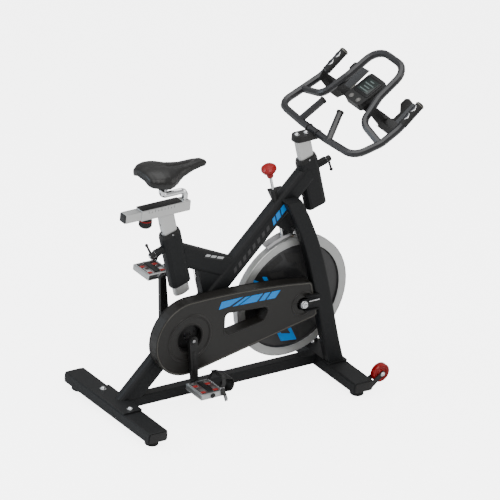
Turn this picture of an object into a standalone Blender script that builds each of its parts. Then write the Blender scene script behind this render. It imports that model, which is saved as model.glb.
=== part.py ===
"""Indoor cycle with a front flywheel, a belt drive, sliding posts and a looped handlebar.

Metres. +X is the front of the machine, +Y its left side, +Z up. The origin is on the
floor, under the middle of the machine. Everything lies about the plane Y = 0.
"""

import math

import bmesh
import bpy
from mathutils import Vector

# ---------------------------------------------------------------- driving dimensions
GAP = 0.0003                 # clearance between pieces that touch
RUNNING = 0.0004             # radial clearance of what turns or slides in a bore

# Base
WHEELBASE = 0.876            # rear stabiliser to front stabiliser, centre to centre
BASE_CENTRE_X = -0.0745
STABILIZER_LENGTH = 0.520
STABILIZER_DEPTH = 0.080
STABILIZER_HEIGHT = 0.040
FOOT_RADIUS = 0.025
FOOT_HEIGHT = 0.022
FOOT_INSET = 0.036           # from the end of a stabiliser to the centre of its foot
FOOT_STUD_RADIUS = 0.005
FOOT_STUD_LENGTH = 0.022
PLATE_LENGTH = 0.206
PLATE_THICKNESS = 0.006
RAIL_WIDTH = 0.040
RAIL_HEIGHT = 0.040
CARRY_WHEEL_RADIUS = 0.035
CARRY_WHEEL_WIDTH = 0.024
CARRY_WHEEL_HEIGHT = 0.074   # of its axle above the floor
CARRY_BRACKET_WALL = 0.003

# Frame
LEAN = math.radians(17.5)    # of both posts, backwards from upright
MAIN_TUBE_HEIGHT = 0.080     # in the side view
MAIN_TUBE_WIDTH = 0.050
MAIN_TUBE_FOOT = 0.043       # its centre line starts this far ahead of the stabiliser's middle
MAIN_TUBE_SINK = 0.011       # and this far under the base's top
SEAT_SLEEVE_TOP = Vector((-0.3525, 0.0, 0.679))
SEAT_SLEEVE_LENGTH = 0.211
HEAD_SLEEVE_TOP = Vector((0.2095, 0.0, 0.849))
HEAD_SLEEVE_LENGTH = 0.196
SLEEVE_DEPTH = 0.080         # of both sleeves, in the side view
SLEEVE_WIDTH = 0.044
POST_DEPTH = 0.060
POST_WIDTH = 0.030
COLLAR_HEIGHT = 0.014
LINK_HEIGHT = 0.080
LINK_WIDTH = 0.040
LINK_DROP = 0.079            # below the seat sleeve's top, where the link's centre line starts
GUSSET_WIDTH = 0.036
LEG_DEPTH = 0.062
LEG_WIDTH = 0.040
LEG_TOP = (0.1305, 0.726)    # side view of the fork leg's centre line, above the flywheel
LEG_BEND = (0.2195, 0.544)
LEG_MIDDLE = (0.2895, 0.317)
LEG_FOOT_Y = 0.078           # sideways place of the leg's centre line at the floor plate
LOCK_BOSS_RADIUS = 0.014
LOCK_BOSS_LENGTH = 0.034
LOCK_BOSS_DROP = 0.045       # below the sleeve's top

# Drive
CRANK_LENGTH = 0.170
CRANK_ANGLE = math.radians(8.5)   # of the right arm, forwards from straight down
BRACKET_ALONG = 0.301        # place of the bottom bracket along the main tube
BRACKET_LIFT = 0.022         # and above its centre line
BRACKET_RADIUS = 0.021
BRACKET_HALF_WIDTH = 0.034
SPINDLE_RADIUS = 0.010
CRANK_PULLEY_RADIUS = 0.110
FLY_PULLEY_RADIUS = 0.034
BELT_WIDTH = 0.011
BELT_THICKNESS = 0.003
BELT_Y = -0.050
FLYWHEEL_CENTRE = Vector((0.1975, 0.0, 0.323))
FLYWHEEL_RADIUS = 0.232
FLYWHEEL_THICKNESS = 0.029
FLYWHEEL_RIM = 0.032
AXLE_RADIUS = 0.008
ARM_THICKNESS = 0.015
RIGHT_ARM_Y = -0.0975
LEFT_ARM_Y = 0.078
PEDAL_DEPTH = 0.094
PEDAL_WIDTH = 0.098
PEDAL_HEIGHT = 0.022
PEDAL_STAND_OFF = 0.008      # from the arm's outer face to the pedal
PEDAL_SPINDLE_RADIUS = 0.0055
CLIP_REACH = 0.104           # of the toe clip, ahead of the pedal's axle
CLIP_HEIGHT = 0.062
CLIP_WIDTH = 0.066
CLIP_THICKNESS = 0.003

# Chain guard
GUARD_REAR_RADIUS = 0.143
GUARD_FRONT_TOP = 0.080      # top edge above the flywheel's axle
GUARD_FRONT_BOTTOM = 0.062
GUARD_CROWN = 0.010          # rise of the top edge over a straight line
GUARD_WALL = 0.003
GUARD_OUTER_Y = -0.080
GUARD_SPLIT_Y = -0.040
GUARD_BACK_Y = -0.037
GUARD_HUB_HOLE = 0.052
GUARD_LEG_GAP = 0.005

# Brake
BRAKE_ROD_RADIUS = 0.0055
BRAKE_KNOB_RADIUS = 0.028
BRAKE_KNOB_HEIGHT = 0.046
BRAKE_ROD_TOP = Vector((0.0600, 0.0, 0.816))
BRAKE_SLEEVE_RADIUS = 0.012
BRAKE_SLEEVE_HEIGHT = 0.040
BRAKE_ROD_SEAT = 0.0012      # between the rod's end and the arm
BRAKE_PIVOT_REACH = 0.070    # from the rod's axis forwards to the arm's pivot
BRAKE_PAD_CLEARANCE = 0.013  # between the pad and the rim, at rest
BRAKE_ARM_LENGTH = 0.132
BRAKE_ARM_WIDTH = 0.030
BRAKE_ARM_THICKNESS = 0.012

# Seat
SLIDER_SIZE = 0.040
SLIDER_WALL = 0.003
SLIDER_Z = 0.787
SLIDER_REAR_X = -0.4945
SLIDER_FRONT_X = -0.2880
SLIDER_OVERHANG = 0.065      # of the inner tube, behind the outer one
SADDLE_TUBE_RADIUS = 0.011
SADDLE_TUBE_LIFT = 0.034     # of its level stretch above the slider's top
SADDLE_PIVOT_X = -0.405
SADDLE_PIVOT_LIFT = 0.034    # of the tilt axis above the tube's level stretch
SADDLE_BARREL_RADIUS = 0.0135
SADDLE_LENGTH = 0.274
SADDLE_WIDTH = 0.168
SADDLE_REAR_X = -0.502
SADDLE_TOP_Z = 0.965
KNOB_RADIUS = 0.022
KNOB_HEIGHT = 0.034
KNOB_INSET = 0.032           # from the slider's rear end

# Handlebar
BAR_RADIUS = 0.0135
POST_EXPOSED = 0.086         # of the handlebar post above the sleeve
BAR_POST_LENGTH = 0.262
SEAT_POST_BELOW = 0.040      # of the seat post under its sleeve
STEM_LENGTH = 0.112
STEM_WIDTH = 0.046
STEM_THICKNESS = 0.022
BAR_HALF_WIDTH = 0.235
BAR_AHEAD = 0.046            # of the base bar ahead of the post's top
BAR_ABOVE = 0.026            # and above it
CONSOLE_SLOPE = math.radians(29.5)
CONSOLE_LENGTH = 0.130
CONSOLE_WIDTH = 0.094
CONSOLE_THICKNESS = 0.030
BUTTON_RADIUS = 0.006
BUTTON_TRAVEL = 0.0015

# ---------------------------------------------------------------- derived places
UP = Vector((-math.sin(LEAN), 0.0, math.cos(LEAN)))        # along both posts
AHEAD = Vector((math.cos(LEAN), 0.0, math.sin(LEAN)))      # across them, forwards
SIDE = Vector((0.0, 1.0, 0.0))

REAR_X = BASE_CENTRE_X - WHEELBASE / 2
FRONT_X = BASE_CENTRE_X + WHEELBASE / 2
STABILIZER_TOP = FOOT_HEIGHT + STABILIZER_HEIGHT
BASE_TOP = STABILIZER_TOP + GAP + PLATE_THICKNESS          # top of the plates and of the rail
SEAT_SLEEVE_FOOT = SEAT_SLEEVE_TOP - UP * SEAT_SLEEVE_LENGTH
HEAD_SLEEVE_FOOT = HEAD_SLEEVE_TOP - UP * HEAD_SLEEVE_LENGTH

MAIN_TUBE_START = Vector((REAR_X + MAIN_TUBE_FOOT, 0.0, BASE_TOP - MAIN_TUBE_SINK))
MAIN_TUBE_END = HEAD_SLEEVE_TOP - UP * 0.045
MAIN_AXIS = (MAIN_TUBE_END - MAIN_TUBE_START).normalized()
MAIN_NORMAL = Vector((-MAIN_AXIS.z, 0.0, MAIN_AXIS.x))     # upwards and backwards
CRANK_CENTRE = MAIN_TUBE_START + MAIN_AXIS * BRACKET_ALONG + MAIN_NORMAL * BRACKET_LIFT
CRANK_DIRECTION = Vector((math.sin(CRANK_ANGLE), 0.0, -math.cos(CRANK_ANGLE)))
LEG_FOOT = (FRONT_X - 0.004, BASE_TOP)
LEG_TOP_Y = MAIN_TUBE_WIDTH / 2 + LEG_WIDTH / 2 + 0.001
BAR_POST_TOP = HEAD_SLEEVE_TOP + UP * POST_EXPOSED


# ---------------------------------------------------------------- modelling helpers
def make_material(name, colour, roughness, metallic=0.0):
    """A Principled material of one finish."""
    material = bpy.data.materials.new(name)
    material.use_nodes = True
    shader = material.node_tree.nodes["Principled BSDF"]
    shader.inputs["Base Color"].default_value = (*colour, 1.0)
    shader.inputs["Roughness"].default_value = roughness
    shader.inputs["Metallic"].default_value = metallic
    return material


def finish_object(name, bm, material=None, parent=None, at=Vector((0, 0, 0)), smooth=True):
    """Turn a bmesh in world coordinates into an object whose origin is at a point."""
    bmesh.ops.remove_doubles(bm, verts=bm.verts, dist=1e-6)
    bmesh.ops.recalc_face_normals(bm, faces=bm.faces)
    bmesh.ops.translate(bm, verts=bm.verts, vec=-at)
    mesh = bpy.data.meshes.new(name)
    bm.to_mesh(mesh)
    bm.free()
    if smooth:
        mesh.shade_smooth()
        mesh.set_sharp_from_angle(angle=math.radians(32))
    thing = bpy.data.objects.new(name, mesh)
    bpy.context.scene.collection.objects.link(thing)
    thing.location = at
    if material:
        mesh.materials.append(material)
    if parent:
        thing.parent = parent
        thing.location = at - Vector(parent["place"])
    return thing


def as_cutter(thing):
    """Hide a helper from the build and from renders."""
    thing.hide_render = True
    thing.display_type = "WIRE"
    return thing


def combine(thing, other, operation="DIFFERENCE"):
    """Add a Boolean with a helper object."""
    step = thing.modifiers.new(operation.lower(), "BOOLEAN")
    step.operation = operation
    step.object = as_cutter(other)
    step.solver = "EXACT"
    return thing


def loft(rings):
    """Closed bmesh through rings of points that all have the same count."""
    bm = bmesh.new()
    loops = [[bm.verts.new(point) for point in ring] for ring in rings]
    count = len(loops[0])
    bm.faces.new(loops[0])
    bm.faces.new(list(reversed(loops[-1])))
    for low, high in zip(loops, loops[1:]):
        for i in range(count):
            j = (i + 1) % count
            bm.faces.new((low[i], low[j], high[j], high[i]))
    return bm


def arc(centre, radius, start, end, steps):
    """Points of a flat arc, by angles in radians."""
    return [(centre[0] + radius * math.cos(start + (end - start) * i / steps),
             centre[1] + radius * math.sin(start + (end - start) * i / steps))
            for i in range(steps + 1)]


def rounded_rectangle(width, height, radius, steps=3):
    """Flat outline with round corners, centred on zero."""
    points = []
    for k, (sx, sy) in enumerate(((1, 1), (-1, 1), (-1, -1), (1, -1))):
        centre = (sx * (width / 2 - radius), sy * (height / 2 - radius))
        points += arc(centre, radius, k * math.pi / 2, (k + 1) * math.pi / 2, steps)
    return points


def circle_outline(radius, steps=28):
    """Flat circle, centred on zero."""
    return arc((0, 0), radius, 0, 2 * math.pi * (1 - 1 / steps), steps - 1)


def capsule(first, first_radius, second, second_radius, steps=10):
    """Flat outline round two circles and their outer tangents."""
    dx, dz = second[0] - first[0], second[1] - first[1]
    along = math.atan2(dz, dx)
    lean = math.asin((first_radius - second_radius) / math.hypot(dx, dz))
    left, right = along + math.pi / 2 - lean, along - math.pi / 2 + lean
    return (arc(first, first_radius, left, right + 2 * math.pi, steps)
            + arc(second, second_radius, right, left, steps))


def prism(outline, y_low, y_high):
    """Flat outline in the side view (x, z), extruded sideways."""
    return loft([[Vector((x, y, z)) for x, z in outline] for y in (y_low, y_high)])


def slab(outline, z_low, z_high, centre=(0.0, 0.0)):
    """Flat outline in the top view (x, y), extruded upwards."""
    return loft([[Vector((centre[0] + x, centre[1] + y, z)) for x, y in outline]
                 for z in (z_low, z_high)])


def bar(start, end, outline, across=None):
    """Outline swept straight from start to end; its first axis lies along across."""
    along = (end - start).normalized()
    level = Vector((1, 0, 0)) if abs(along.y) > 0.9 else SIDE.cross(along)
    first = (across or level).normalized()
    second = along.cross(first)
    return loft([[p + first * u + second * v for u, v in outline] for p in (start, end)])


def turned(profile, start, along, steps=28):
    """Closed profile of (radius, distance) pairs turned about an axis."""
    along = along.normalized()
    first = along.orthogonal().normalized()
    bm = bmesh.new()
    points = [bm.verts.new(start + along * d + first * r) for r, d in profile]
    for i in range(len(points)):
        j = (i + 1) % len(points)
        if profile[i][0] > 1e-7 or profile[j][0] > 1e-7:
            bm.edges.new((points[i], points[j]))
    bmesh.ops.spin(bm, geom=list(bm.verts) + list(bm.edges), cent=start, axis=along,
                   angle=2 * math.pi, steps=steps, use_merge=True)
    bmesh.ops.dissolve_degenerate(bm, dist=1e-7, edges=bm.edges)
    return bm


def rod(start, end, radius, steps=20):
    """Plain round bar."""
    return bar(start, end, circle_outline(radius, steps))


def rounded_path(points, radii, steps=5):
    """Polyline whose inner corners are arcs of the given radii."""
    path = [points[0]]
    for before, corner, after, radius in zip(points, points[1:], points[2:], radii):
        to_before = (before - corner).normalized()
        to_after = (after - corner).normalized()
        half = to_before.angle(to_after) / 2
        reach = radius / math.tan(half)
        centre = corner + (to_before + to_after).normalized() * radius / math.sin(half)
        start, end = corner + to_before * reach - centre, corner + to_after * reach - centre
        sweep = start.angle(end)
        for i in range(steps + 1):
            t = i / steps
            path.append(centre + (start * math.sin((1 - t) * sweep)
                                  + end * math.sin(t * sweep)) / math.sin(sweep))
    return path + [points[-1]]


def pipe(name, path, radius, sides=12):
    """Round pipe along a path, as a bmesh."""
    curve = bpy.data.curves.new(name, "CURVE")
    curve.dimensions = "3D"
    spline = curve.splines.new("POLY")
    spline.points.add(len(path) - 1)
    for point, place in zip(spline.points, path):
        point.co = (*place, 1.0)
    curve.bevel_depth = radius
    curve.bevel_resolution = sides // 4 - 1
    curve.use_fill_caps = True
    holder = bpy.data.objects.new(name, curve)
    bm = bmesh.new()
    mesh = holder.to_mesh()
    bm.from_mesh(mesh)
    holder.to_mesh_clear()
    bpy.data.objects.remove(holder)
    return bm


def box(low, high, radius=0.0, steps=2):
    """Block between two corners, with rounded edges when a radius is given."""
    bm = bmesh.new()
    bmesh.ops.create_cube(bm, size=1.0)
    size = Vector(high) - Vector(low)
    bmesh.ops.scale(bm, verts=bm.verts, vec=size)
    bmesh.ops.translate(bm, verts=bm.verts, vec=(Vector(high) + Vector(low)) / 2)
    if radius:
        bmesh.ops.bevel(bm, geom=list(bm.edges), offset=radius, offset_type="OFFSET",
                        segments=steps, profile=0.5, affect="EDGES", material=-1)
    return bm


def pivot(name, place, parent=None):
    """Empty on a joint's axis, which carries the pieces that move on it."""
    empty = bpy.data.objects.new(name, None)
    empty.empty_display_size = 0.05
    bpy.context.scene.collection.objects.link(empty)
    empty["place"] = place
    empty.location = place - (Vector(parent["place"]) if parent else Vector((0, 0, 0)))
    empty.parent = parent
    return empty


def side_name(y):
    """Word for the side of the machine that a place is on."""
    return "left" if y > 0 else "right"


def flat_oval(depth, width):
    """Post and sleeve section: a long round-cornered oval."""
    return rounded_rectangle(depth, width, min(depth, width) * 0.38, 3)


# ---------------------------------------------------------------- base
def stabilizer(name, x, material):
    """Cross bar of the base, drilled for the studs of its two feet."""
    half = STABILIZER_LENGTH / 2
    body = finish_object(name, box((x - STABILIZER_DEPTH / 2, -half, FOOT_HEIGHT),
                                   (x + STABILIZER_DEPTH / 2, half, STABILIZER_TOP), 0.005), material)
    for y in (-half + FOOT_INSET, half - FOOT_INSET):
        hole = rod(Vector((x, y, FOOT_HEIGHT - 0.01)),
                   Vector((x, y, FOOT_HEIGHT + FOOT_STUD_LENGTH + 0.001)),
                   FOOT_STUD_RADIUS + RUNNING, 12)
        combine(body, finish_object(f"{name}_stud_hole", hole))
    return body


def foot(x, y, material):
    """Levelling foot: a rubber disc on a threaded stud."""
    end = "rear" if x < BASE_CENTRE_X else "front"
    name = f"foot_{end}_{side_name(y)}"
    place = Vector((x, y, 0.0))
    top = FOOT_HEIGHT - GAP
    profile = [(0, 0), (FOOT_RADIUS - 0.003, 0), (FOOT_RADIUS, 0.003), (FOOT_RADIUS - 0.002, top),
               (FOOT_STUD_RADIUS, top), (FOOT_STUD_RADIUS, FOOT_HEIGHT + FOOT_STUD_LENGTH),
               (0, FOOT_HEIGHT + FOOT_STUD_LENGTH)]
    body = turned(profile, place, Vector((0, 0, 1)), 20)
    return finish_object(name, body, material, at=place)


def carry_wheel_place(y_side):
    """Axle centre of a transport wheel, just ahead of the front stabiliser's end."""
    x = FRONT_X + STABILIZER_DEPTH / 2 + CARRY_BRACKET_WALL + CARRY_WHEEL_RADIUS + 0.003
    y = STABILIZER_LENGTH / 2 - 0.006 - CARRY_BRACKET_WALL - CARRY_WHEEL_WIDTH / 2
    return Vector((x, y_side * y, CARRY_WHEEL_HEIGHT))


def carry_bracket(y_side, material):
    """Forked sheet bracket on the stabiliser's front face, with the wheel's axle."""
    place = carry_wheel_place(y_side)
    face = FRONT_X + STABILIZER_DEPTH / 2 + GAP
    reach = CARRY_WHEEL_WIDTH / 2 + 0.002
    low, high = FOOT_HEIGHT + 0.006, STABILIZER_TOP - 0.006
    name = f"wheel_bracket_{side_name(y_side)}"
    inside = 0.0006              # keeps the joined pieces' faces apart
    half_base = reach + CARRY_BRACKET_WALL - inside
    body = box((face, place.y - half_base, low + inside),
               (face + CARRY_BRACKET_WALL, place.y + half_base, high - inside))
    bracket = finish_object(name, body, material)
    root = face + inside
    for side in (-1, 1):
        inner = place.y + side * reach
        outer = inner + side * CARRY_BRACKET_WALL
        outline = [(root, low), (place.x, place.z - 0.011)]
        outline += arc((place.x, place.z), 0.011, -math.pi / 2, math.pi / 2, 8)[1:]
        outline += [(root, high)]
        cheek = prism(outline, min(inner, outer), max(inner, outer))
        combine(bracket, finish_object(f"{name}_cheek", cheek), "UNION")
    end = Vector((0, reach + CARRY_BRACKET_WALL / 2, 0))
    combine(bracket, finish_object(f"{name}_axle", rod(place - end, place + end, 0.004, 12)), "UNION")
    return bracket


def carry_wheel(y_side, material):
    """Plastic transport wheel with a rounded tread."""
    place = carry_wheel_place(y_side)
    half, bore = CARRY_WHEEL_WIDTH / 2, 0.004 + RUNNING
    r = CARRY_WHEEL_RADIUS
    profile = [(bore, -half), (r * 0.35, -half), (r * 0.45, -half + 0.004), (r * 0.72, -half + 0.004),
               (r * 0.80, -half), (r - 0.004, -half), (r, -half + 0.004),
               (r, half - 0.004), (r - 0.004, half), (r * 0.80, half), (r * 0.72, half - 0.004),
               (r * 0.45, half - 0.004), (r * 0.35, half), (bore, half)]
    body = turned(profile, place, SIDE, 20)
    return finish_object(f"transport_wheel_{side_name(y_side)}", body, material, at=place)


def build_base(paint, rubber, red):
    """Stabilisers, feet, plates, bottom rail and transport wheels."""
    stabilizer("rear_stabilizer", REAR_X, paint)
    stabilizer("front_stabilizer", FRONT_X, paint)
    for name, x in (("rear_mount_plate", REAR_X), ("front_mount_plate", FRONT_X)):
        outline = rounded_rectangle(STABILIZER_DEPTH - 0.002, PLATE_LENGTH, 0.004, 2)
        finish_object(name, slab(outline, STABILIZER_TOP + GAP, BASE_TOP, (x, 0.0)), paint)
    section = rounded_rectangle(RAIL_HEIGHT, RAIL_WIDTH, 0.005, 2)
    rail_z = BASE_TOP - RAIL_HEIGHT / 2
    rail = bar(Vector((REAR_X + STABILIZER_DEPTH / 2 + GAP, 0, rail_z)),
               Vector((FRONT_X - STABILIZER_DEPTH / 2 - GAP, 0, rail_z)), section)
    finish_object("bottom_rail", rail, paint)
    foot_y = STABILIZER_LENGTH / 2 - FOOT_INSET
    for x in (REAR_X, FRONT_X):
        for y in (-foot_y, foot_y):
            foot(x, y, rubber)
    for y_side in (-1, 1):
        carry_bracket(y_side, paint)
        carry_wheel(y_side, red)


# ---------------------------------------------------------------- frame
def sleeve(name, foot_point, top_point, boss_direction, material):
    """Hollow flat-oval sleeve for a post, with a drilled boss for its lock lever."""
    body = finish_object(name, bar(foot_point, top_point, flat_oval(SLEEVE_DEPTH, SLEEVE_WIDTH), AHEAD),
                         material)
    boss = lock_boss(foot_point, top_point, boss_direction)
    outer = rod(boss[0], boss[1], LOCK_BOSS_RADIUS, 20)
    combine(body, finish_object(f"{name}_boss", outer), "UNION")
    bore = bar(foot_point - UP * 0.01, top_point + UP * 0.01, post_section(RUNNING), AHEAD)
    combine(body, finish_object(f"{name}_bore", bore))
    drill = rod(boss[1] - boss_direction * (LOCK_BOSS_LENGTH - 0.006), boss[1] + boss_direction * 0.01,
                0.005 + RUNNING, 16)
    combine(body, finish_object(f"{name}_drill", drill))
    return body


def post_section(grow=0.0):
    """Section of both posts, or of the bore that takes them."""
    return flat_oval(POST_DEPTH + 2 * grow, POST_WIDTH + 2 * grow)


def lock_boss(foot_point, top_point, direction):
    """Start, inside the sleeve's wall, and end of a lock lever's boss."""
    centre = top_point - UP * LOCK_BOSS_DROP
    return (centre + direction * (POST_DEPTH / 2 + 0.004),
            centre + direction * (SLEEVE_DEPTH / 2 + LOCK_BOSS_LENGTH))


def sleeve_cutter(foot_point, top_point):
    """Outside of a sleeve with its clearance, for the tubes that meet it."""
    return bar(foot_point - UP * 0.03, top_point + UP * 0.03,
               flat_oval(SLEEVE_DEPTH + 2 * GAP, SLEEVE_WIDTH + 2 * GAP), AHEAD)


def main_tube_solid(grow=0.0):
    """Main tube's outside, from under the base plate to inside the head sleeve."""
    section = rounded_rectangle(MAIN_TUBE_HEIGHT + 2 * grow, MAIN_TUBE_WIDTH + 2 * grow, 0.022, 4)
    return bar(MAIN_TUBE_START - MAIN_AXIS * 0.06, MAIN_TUBE_END, section, MAIN_NORMAL)


def build_main_tube(paint):
    """Sloping main tube, cut to sit on the base and against the head sleeve."""
    tube = finish_object("main_tube", main_tube_solid(), paint)
    floor = box((-1.2, -0.1, -0.2), (0.5, 0.1, BASE_TOP + GAP))
    combine(tube, finish_object("main_tube_floor", floor))
    combine(tube, finish_object("main_tube_head", sleeve_cutter(HEAD_SLEEVE_FOOT, HEAD_SLEEVE_TOP)))
    beyond = bar(HEAD_SLEEVE_FOOT - UP * 0.2 + AHEAD * 0.1, HEAD_SLEEVE_TOP + UP * 0.2 + AHEAD * 0.1,
                 rounded_rectangle(0.2, 0.2, 0.01, 1), AHEAD)
    combine(tube, finish_object("main_tube_beyond", beyond))
    shell = rod(CRANK_CENTRE - SIDE * 0.1, CRANK_CENTRE + SIDE * 0.1, BRACKET_RADIUS + GAP, 28)
    combine(tube, finish_object("main_tube_shell_hole", shell))
    axis_down = rod(BRAKE_ROD_TOP, BRAKE_ROD_TOP - UP * 0.40, BRAKE_ROD_RADIUS + 0.0015, 16)
    combine(tube, finish_object("main_tube_rod_hole", axis_down))
    shell = turned([(SPINDLE_RADIUS + RUNNING, -BRACKET_HALF_WIDTH), (BRACKET_RADIUS, -BRACKET_HALF_WIDTH),
                    (BRACKET_RADIUS, BRACKET_HALF_WIDTH), (SPINDLE_RADIUS + RUNNING, BRACKET_HALF_WIDTH)],
                   CRANK_CENTRE, SIDE, 28)
    finish_object("bottom_bracket_shell", shell, paint)


def main_tube_point(x):
    """Point of the main tube's centre line at a given x."""
    return MAIN_TUBE_START + MAIN_AXIS * ((x - MAIN_TUBE_START.x) / MAIN_AXIS.x)


def build_link(paint):
    """Level link tube and the gusset box under it, between seat sleeve and main tube."""
    start = SEAT_SLEEVE_TOP - UP * LINK_DROP
    end = main_tube_point(-0.0715)
    section = rounded_rectangle(LINK_HEIGHT, LINK_WIDTH, 0.012, 3)
    link = finish_object("link_tube", bar(start, end, section), paint)
    combine(link, finish_object("link_sleeve_cut", sleeve_cutter(SEAT_SLEEVE_FOOT, SEAT_SLEEVE_TOP)))
    combine(link, finish_object("link_tube_cut", main_tube_solid(GAP)))
    top = start + (end - start) * 0.38
    rear_foot = main_tube_point(top.x + 0.050)
    front = main_tube_point(end.x - 0.004)
    outline = [(top.x, top.z), (rear_foot.x - 0.010, rear_foot.z + 0.03), (rear_foot.x, rear_foot.z),
               (front.x, front.z)]
    gusset = finish_object("gusset_box", prism(outline, -GUSSET_WIDTH / 2, GUSSET_WIDTH / 2), paint)
    combine(gusset, finish_object("gusset_tube_cut", main_tube_solid(GAP)))
    grown = rounded_rectangle(LINK_HEIGHT + 2 * GAP, LINK_WIDTH + 2 * GAP, 0.012, 3)
    combine(gusset, finish_object("gusset_link_cut", bar(start, end + (end - start) * 0.3, grown)))


def leg_centre(z):
    """Fork leg's centre line in the side view: x at a height, on a smooth curve."""
    knots = [LEG_FOOT, LEG_MIDDLE, LEG_BEND, LEG_TOP]
    total = 0.0
    for i, (x_i, z_i) in enumerate(knots):
        weight = 1.0
        for j, (_, z_j) in enumerate(knots):
            if j != i:
                weight *= (z - z_j) / (z_i - z_j)
        total += weight * x_i
    return total


def leg_side(z):
    """Fork leg's distance from the middle plane at a height."""
    share = (LEG_TOP[1] - z) / (LEG_TOP[1] - BASE_TOP)
    return LEG_TOP_Y + (LEG_FOOT_Y - LEG_TOP_Y) * share


def leg_solid(y_side, grow=0.0):
    """Fork leg: a rectangular tube that bends in the side view and splays sideways."""
    rings = []
    low, high = BASE_TOP + GAP - grow, LEG_TOP[1] + grow
    section = rounded_rectangle(LEG_DEPTH * 1.04 + 2 * grow, LEG_WIDTH + 2 * grow, 0.006, 2)
    for i in range(11):
        z = low + (high - low) * i / 10
        rings.append([Vector((leg_centre(z) + u, y_side * leg_side(z) + v, z)) for u, v in section])
    return loft(rings)


def build_fork(paint, steel):
    """Fork legs and the dropout plates that hold the flywheel's axle."""
    for y_side in (-1, 1):
        name = side_name(y_side)
        finish_object(f"fork_leg_{name}", leg_solid(y_side), paint)
        c = FLYWHEEL_CENTRE
        reach = leg_centre(c.z) - LEG_DEPTH / 2 + 0.008
        low_y, high_y = ((GUARD_OUTER_Y - 0.0075, GUARD_OUTER_Y - 0.0035) if y_side < 0
                         else (leg_side(c.z) - 0.004, leg_side(c.z)))
        outline = arc((c.x, c.z), 0.018, math.pi / 2, 3 * math.pi / 2, 10)
        outline += [(reach, c.z - 0.024), (reach, c.z + 0.024)]
        plate = finish_object(f"dropout_{name}", prism(outline, low_y, high_y), steel)
        combine(plate, finish_object(f"dropout_{name}_leg_cut", leg_solid(y_side, GAP)))
        hole = rod(c - SIDE * 0.2, c + SIDE * 0.2, AXLE_RADIUS + GAP, 20)
        combine(plate, finish_object(f"dropout_{name}_hole", hole))
    axle = rod(FLYWHEEL_CENTRE + SIDE * (GUARD_OUTER_Y - 0.014),
               FLYWHEEL_CENTRE + SIDE * (leg_side(FLYWHEEL_CENTRE.z) + 0.010), AXLE_RADIUS, 20)
    finish_object("flywheel_axle", axle, steel)


def collar(name, top_point, material):
    """Plastic bush on a sleeve's mouth, round its post."""
    foot_point, head_point = top_point + UP * GAP, top_point + UP * COLLAR_HEIGHT
    body = finish_object(name, loft([
        [p + AHEAD * u + SIDE * v for u, v in flat_oval(SLEEVE_DEPTH - cut, SLEEVE_WIDTH - cut)]
        for p, cut in ((foot_point, 0.0), (head_point, 0.006))]), material)
    bore = bar(foot_point - UP * 0.01, head_point + UP * 0.01, post_section(GAP), AHEAD)
    combine(body, finish_object(f"{name}_bore", bore))


# ---------------------------------------------------------------- drive
def guard_outline(inset=0.0):
    """Guard's outline in the side view, round the drive and clear of the fork leg."""
    c, f = CRANK_CENTRE, FLYWHEEL_CENTRE
    rear = GUARD_REAR_RADIUS - inset
    low_angle = math.radians(-76.5)
    top_z, low_z = f.z + GUARD_FRONT_TOP - inset, f.z - GUARD_FRONT_BOTTOM + inset

    def front_x(z):
        return leg_centre(z) - LEG_DEPTH * 0.52 - GUARD_LEG_GAP - inset

    points = arc((c.x, c.z), rear, math.radians(86), 2 * math.pi + low_angle, 22)
    corner = (front_x(low_z), low_z)
    points += [(corner[0] - 0.012, low_z - 0.002), (corner[0] - 0.002, low_z + 0.010)]
    corner = (front_x(top_z), top_z)
    points += [(corner[0] + 0.001, top_z - 0.008), (corner[0] - 0.007, top_z)]
    start, end = points[-1], points[0]
    for i in range(1, 10):
        t = i / 10
        points.append((start[0] + (end[0] - start[0]) * t,
                       start[1] + (end[1] - start[1]) * t + 4 * GUARD_CROWN * t * (1 - t)))
    return points


def guard_window(grow=0.0):
    """Guard's window: a round-cornered wedge between the belt's two runs."""
    c, f = CRANK_CENTRE, FLYWHEEL_CENTRE
    run = f - c
    ahead = Vector((run.x, 0, run.z)).normalized()
    above = Vector((-ahead.z, 0, ahead.x))

    def place(share, lift):
        return c + run * share + above * lift

    corners = [place(0.31, 0.055), place(0.31, -0.033), place(0.65, -0.019), place(0.71, 0.030)]
    path = rounded_path(corners[-1:] + corners + corners[:1], [0.016, 0.014, 0.014, 0.016], 3)[1:-1]
    middle = sum(corners, Vector((0, 0, 0))) / 4
    outline = []
    for p in path:
        out = (p - middle).normalized() * grow
        outline.append((p.x + out.x, p.z + out.z))
    return outline


def build_guard(plastic):
    """Chain guard: a dished outer cover and a flat inner cover."""
    outer = finish_object("chain_guard_outer", prism(guard_outline(), GUARD_OUTER_Y, GUARD_SPLIT_Y), plastic)
    hollow = finish_object("guard_hollow", prism(guard_outline(GUARD_WALL), GUARD_OUTER_Y + GUARD_WALL,
                                                 GUARD_SPLIT_Y + 0.01))
    frame = finish_object("guard_window_frame", prism(guard_window(GUARD_WALL), GUARD_OUTER_Y - 0.01,
                                                      GUARD_SPLIT_Y + 0.02))
    combine(hollow, frame)
    combine(outer, hollow)
    inner = finish_object("chain_guard_inner", prism(guard_outline(), GUARD_SPLIT_Y + GAP, GUARD_BACK_Y),
                          plastic)
    window = finish_object("guard_window_cut", prism(guard_window(), -0.12, 0.0))
    hub = finish_object("guard_hub_cut", rod(CRANK_CENTRE - SIDE * 0.12, CRANK_CENTRE, GUARD_HUB_HOLE, 36))
    nose = finish_object("guard_axle_cut", rod(FLYWHEEL_CENTRE - SIDE * 0.12, FLYWHEEL_CENTRE,
                                               FLY_PULLEY_RADIUS * 0.7, 20))
    for cover in (outer, inner):
        for hole in (window, hub, nose):
            combine(cover, hole)


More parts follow.
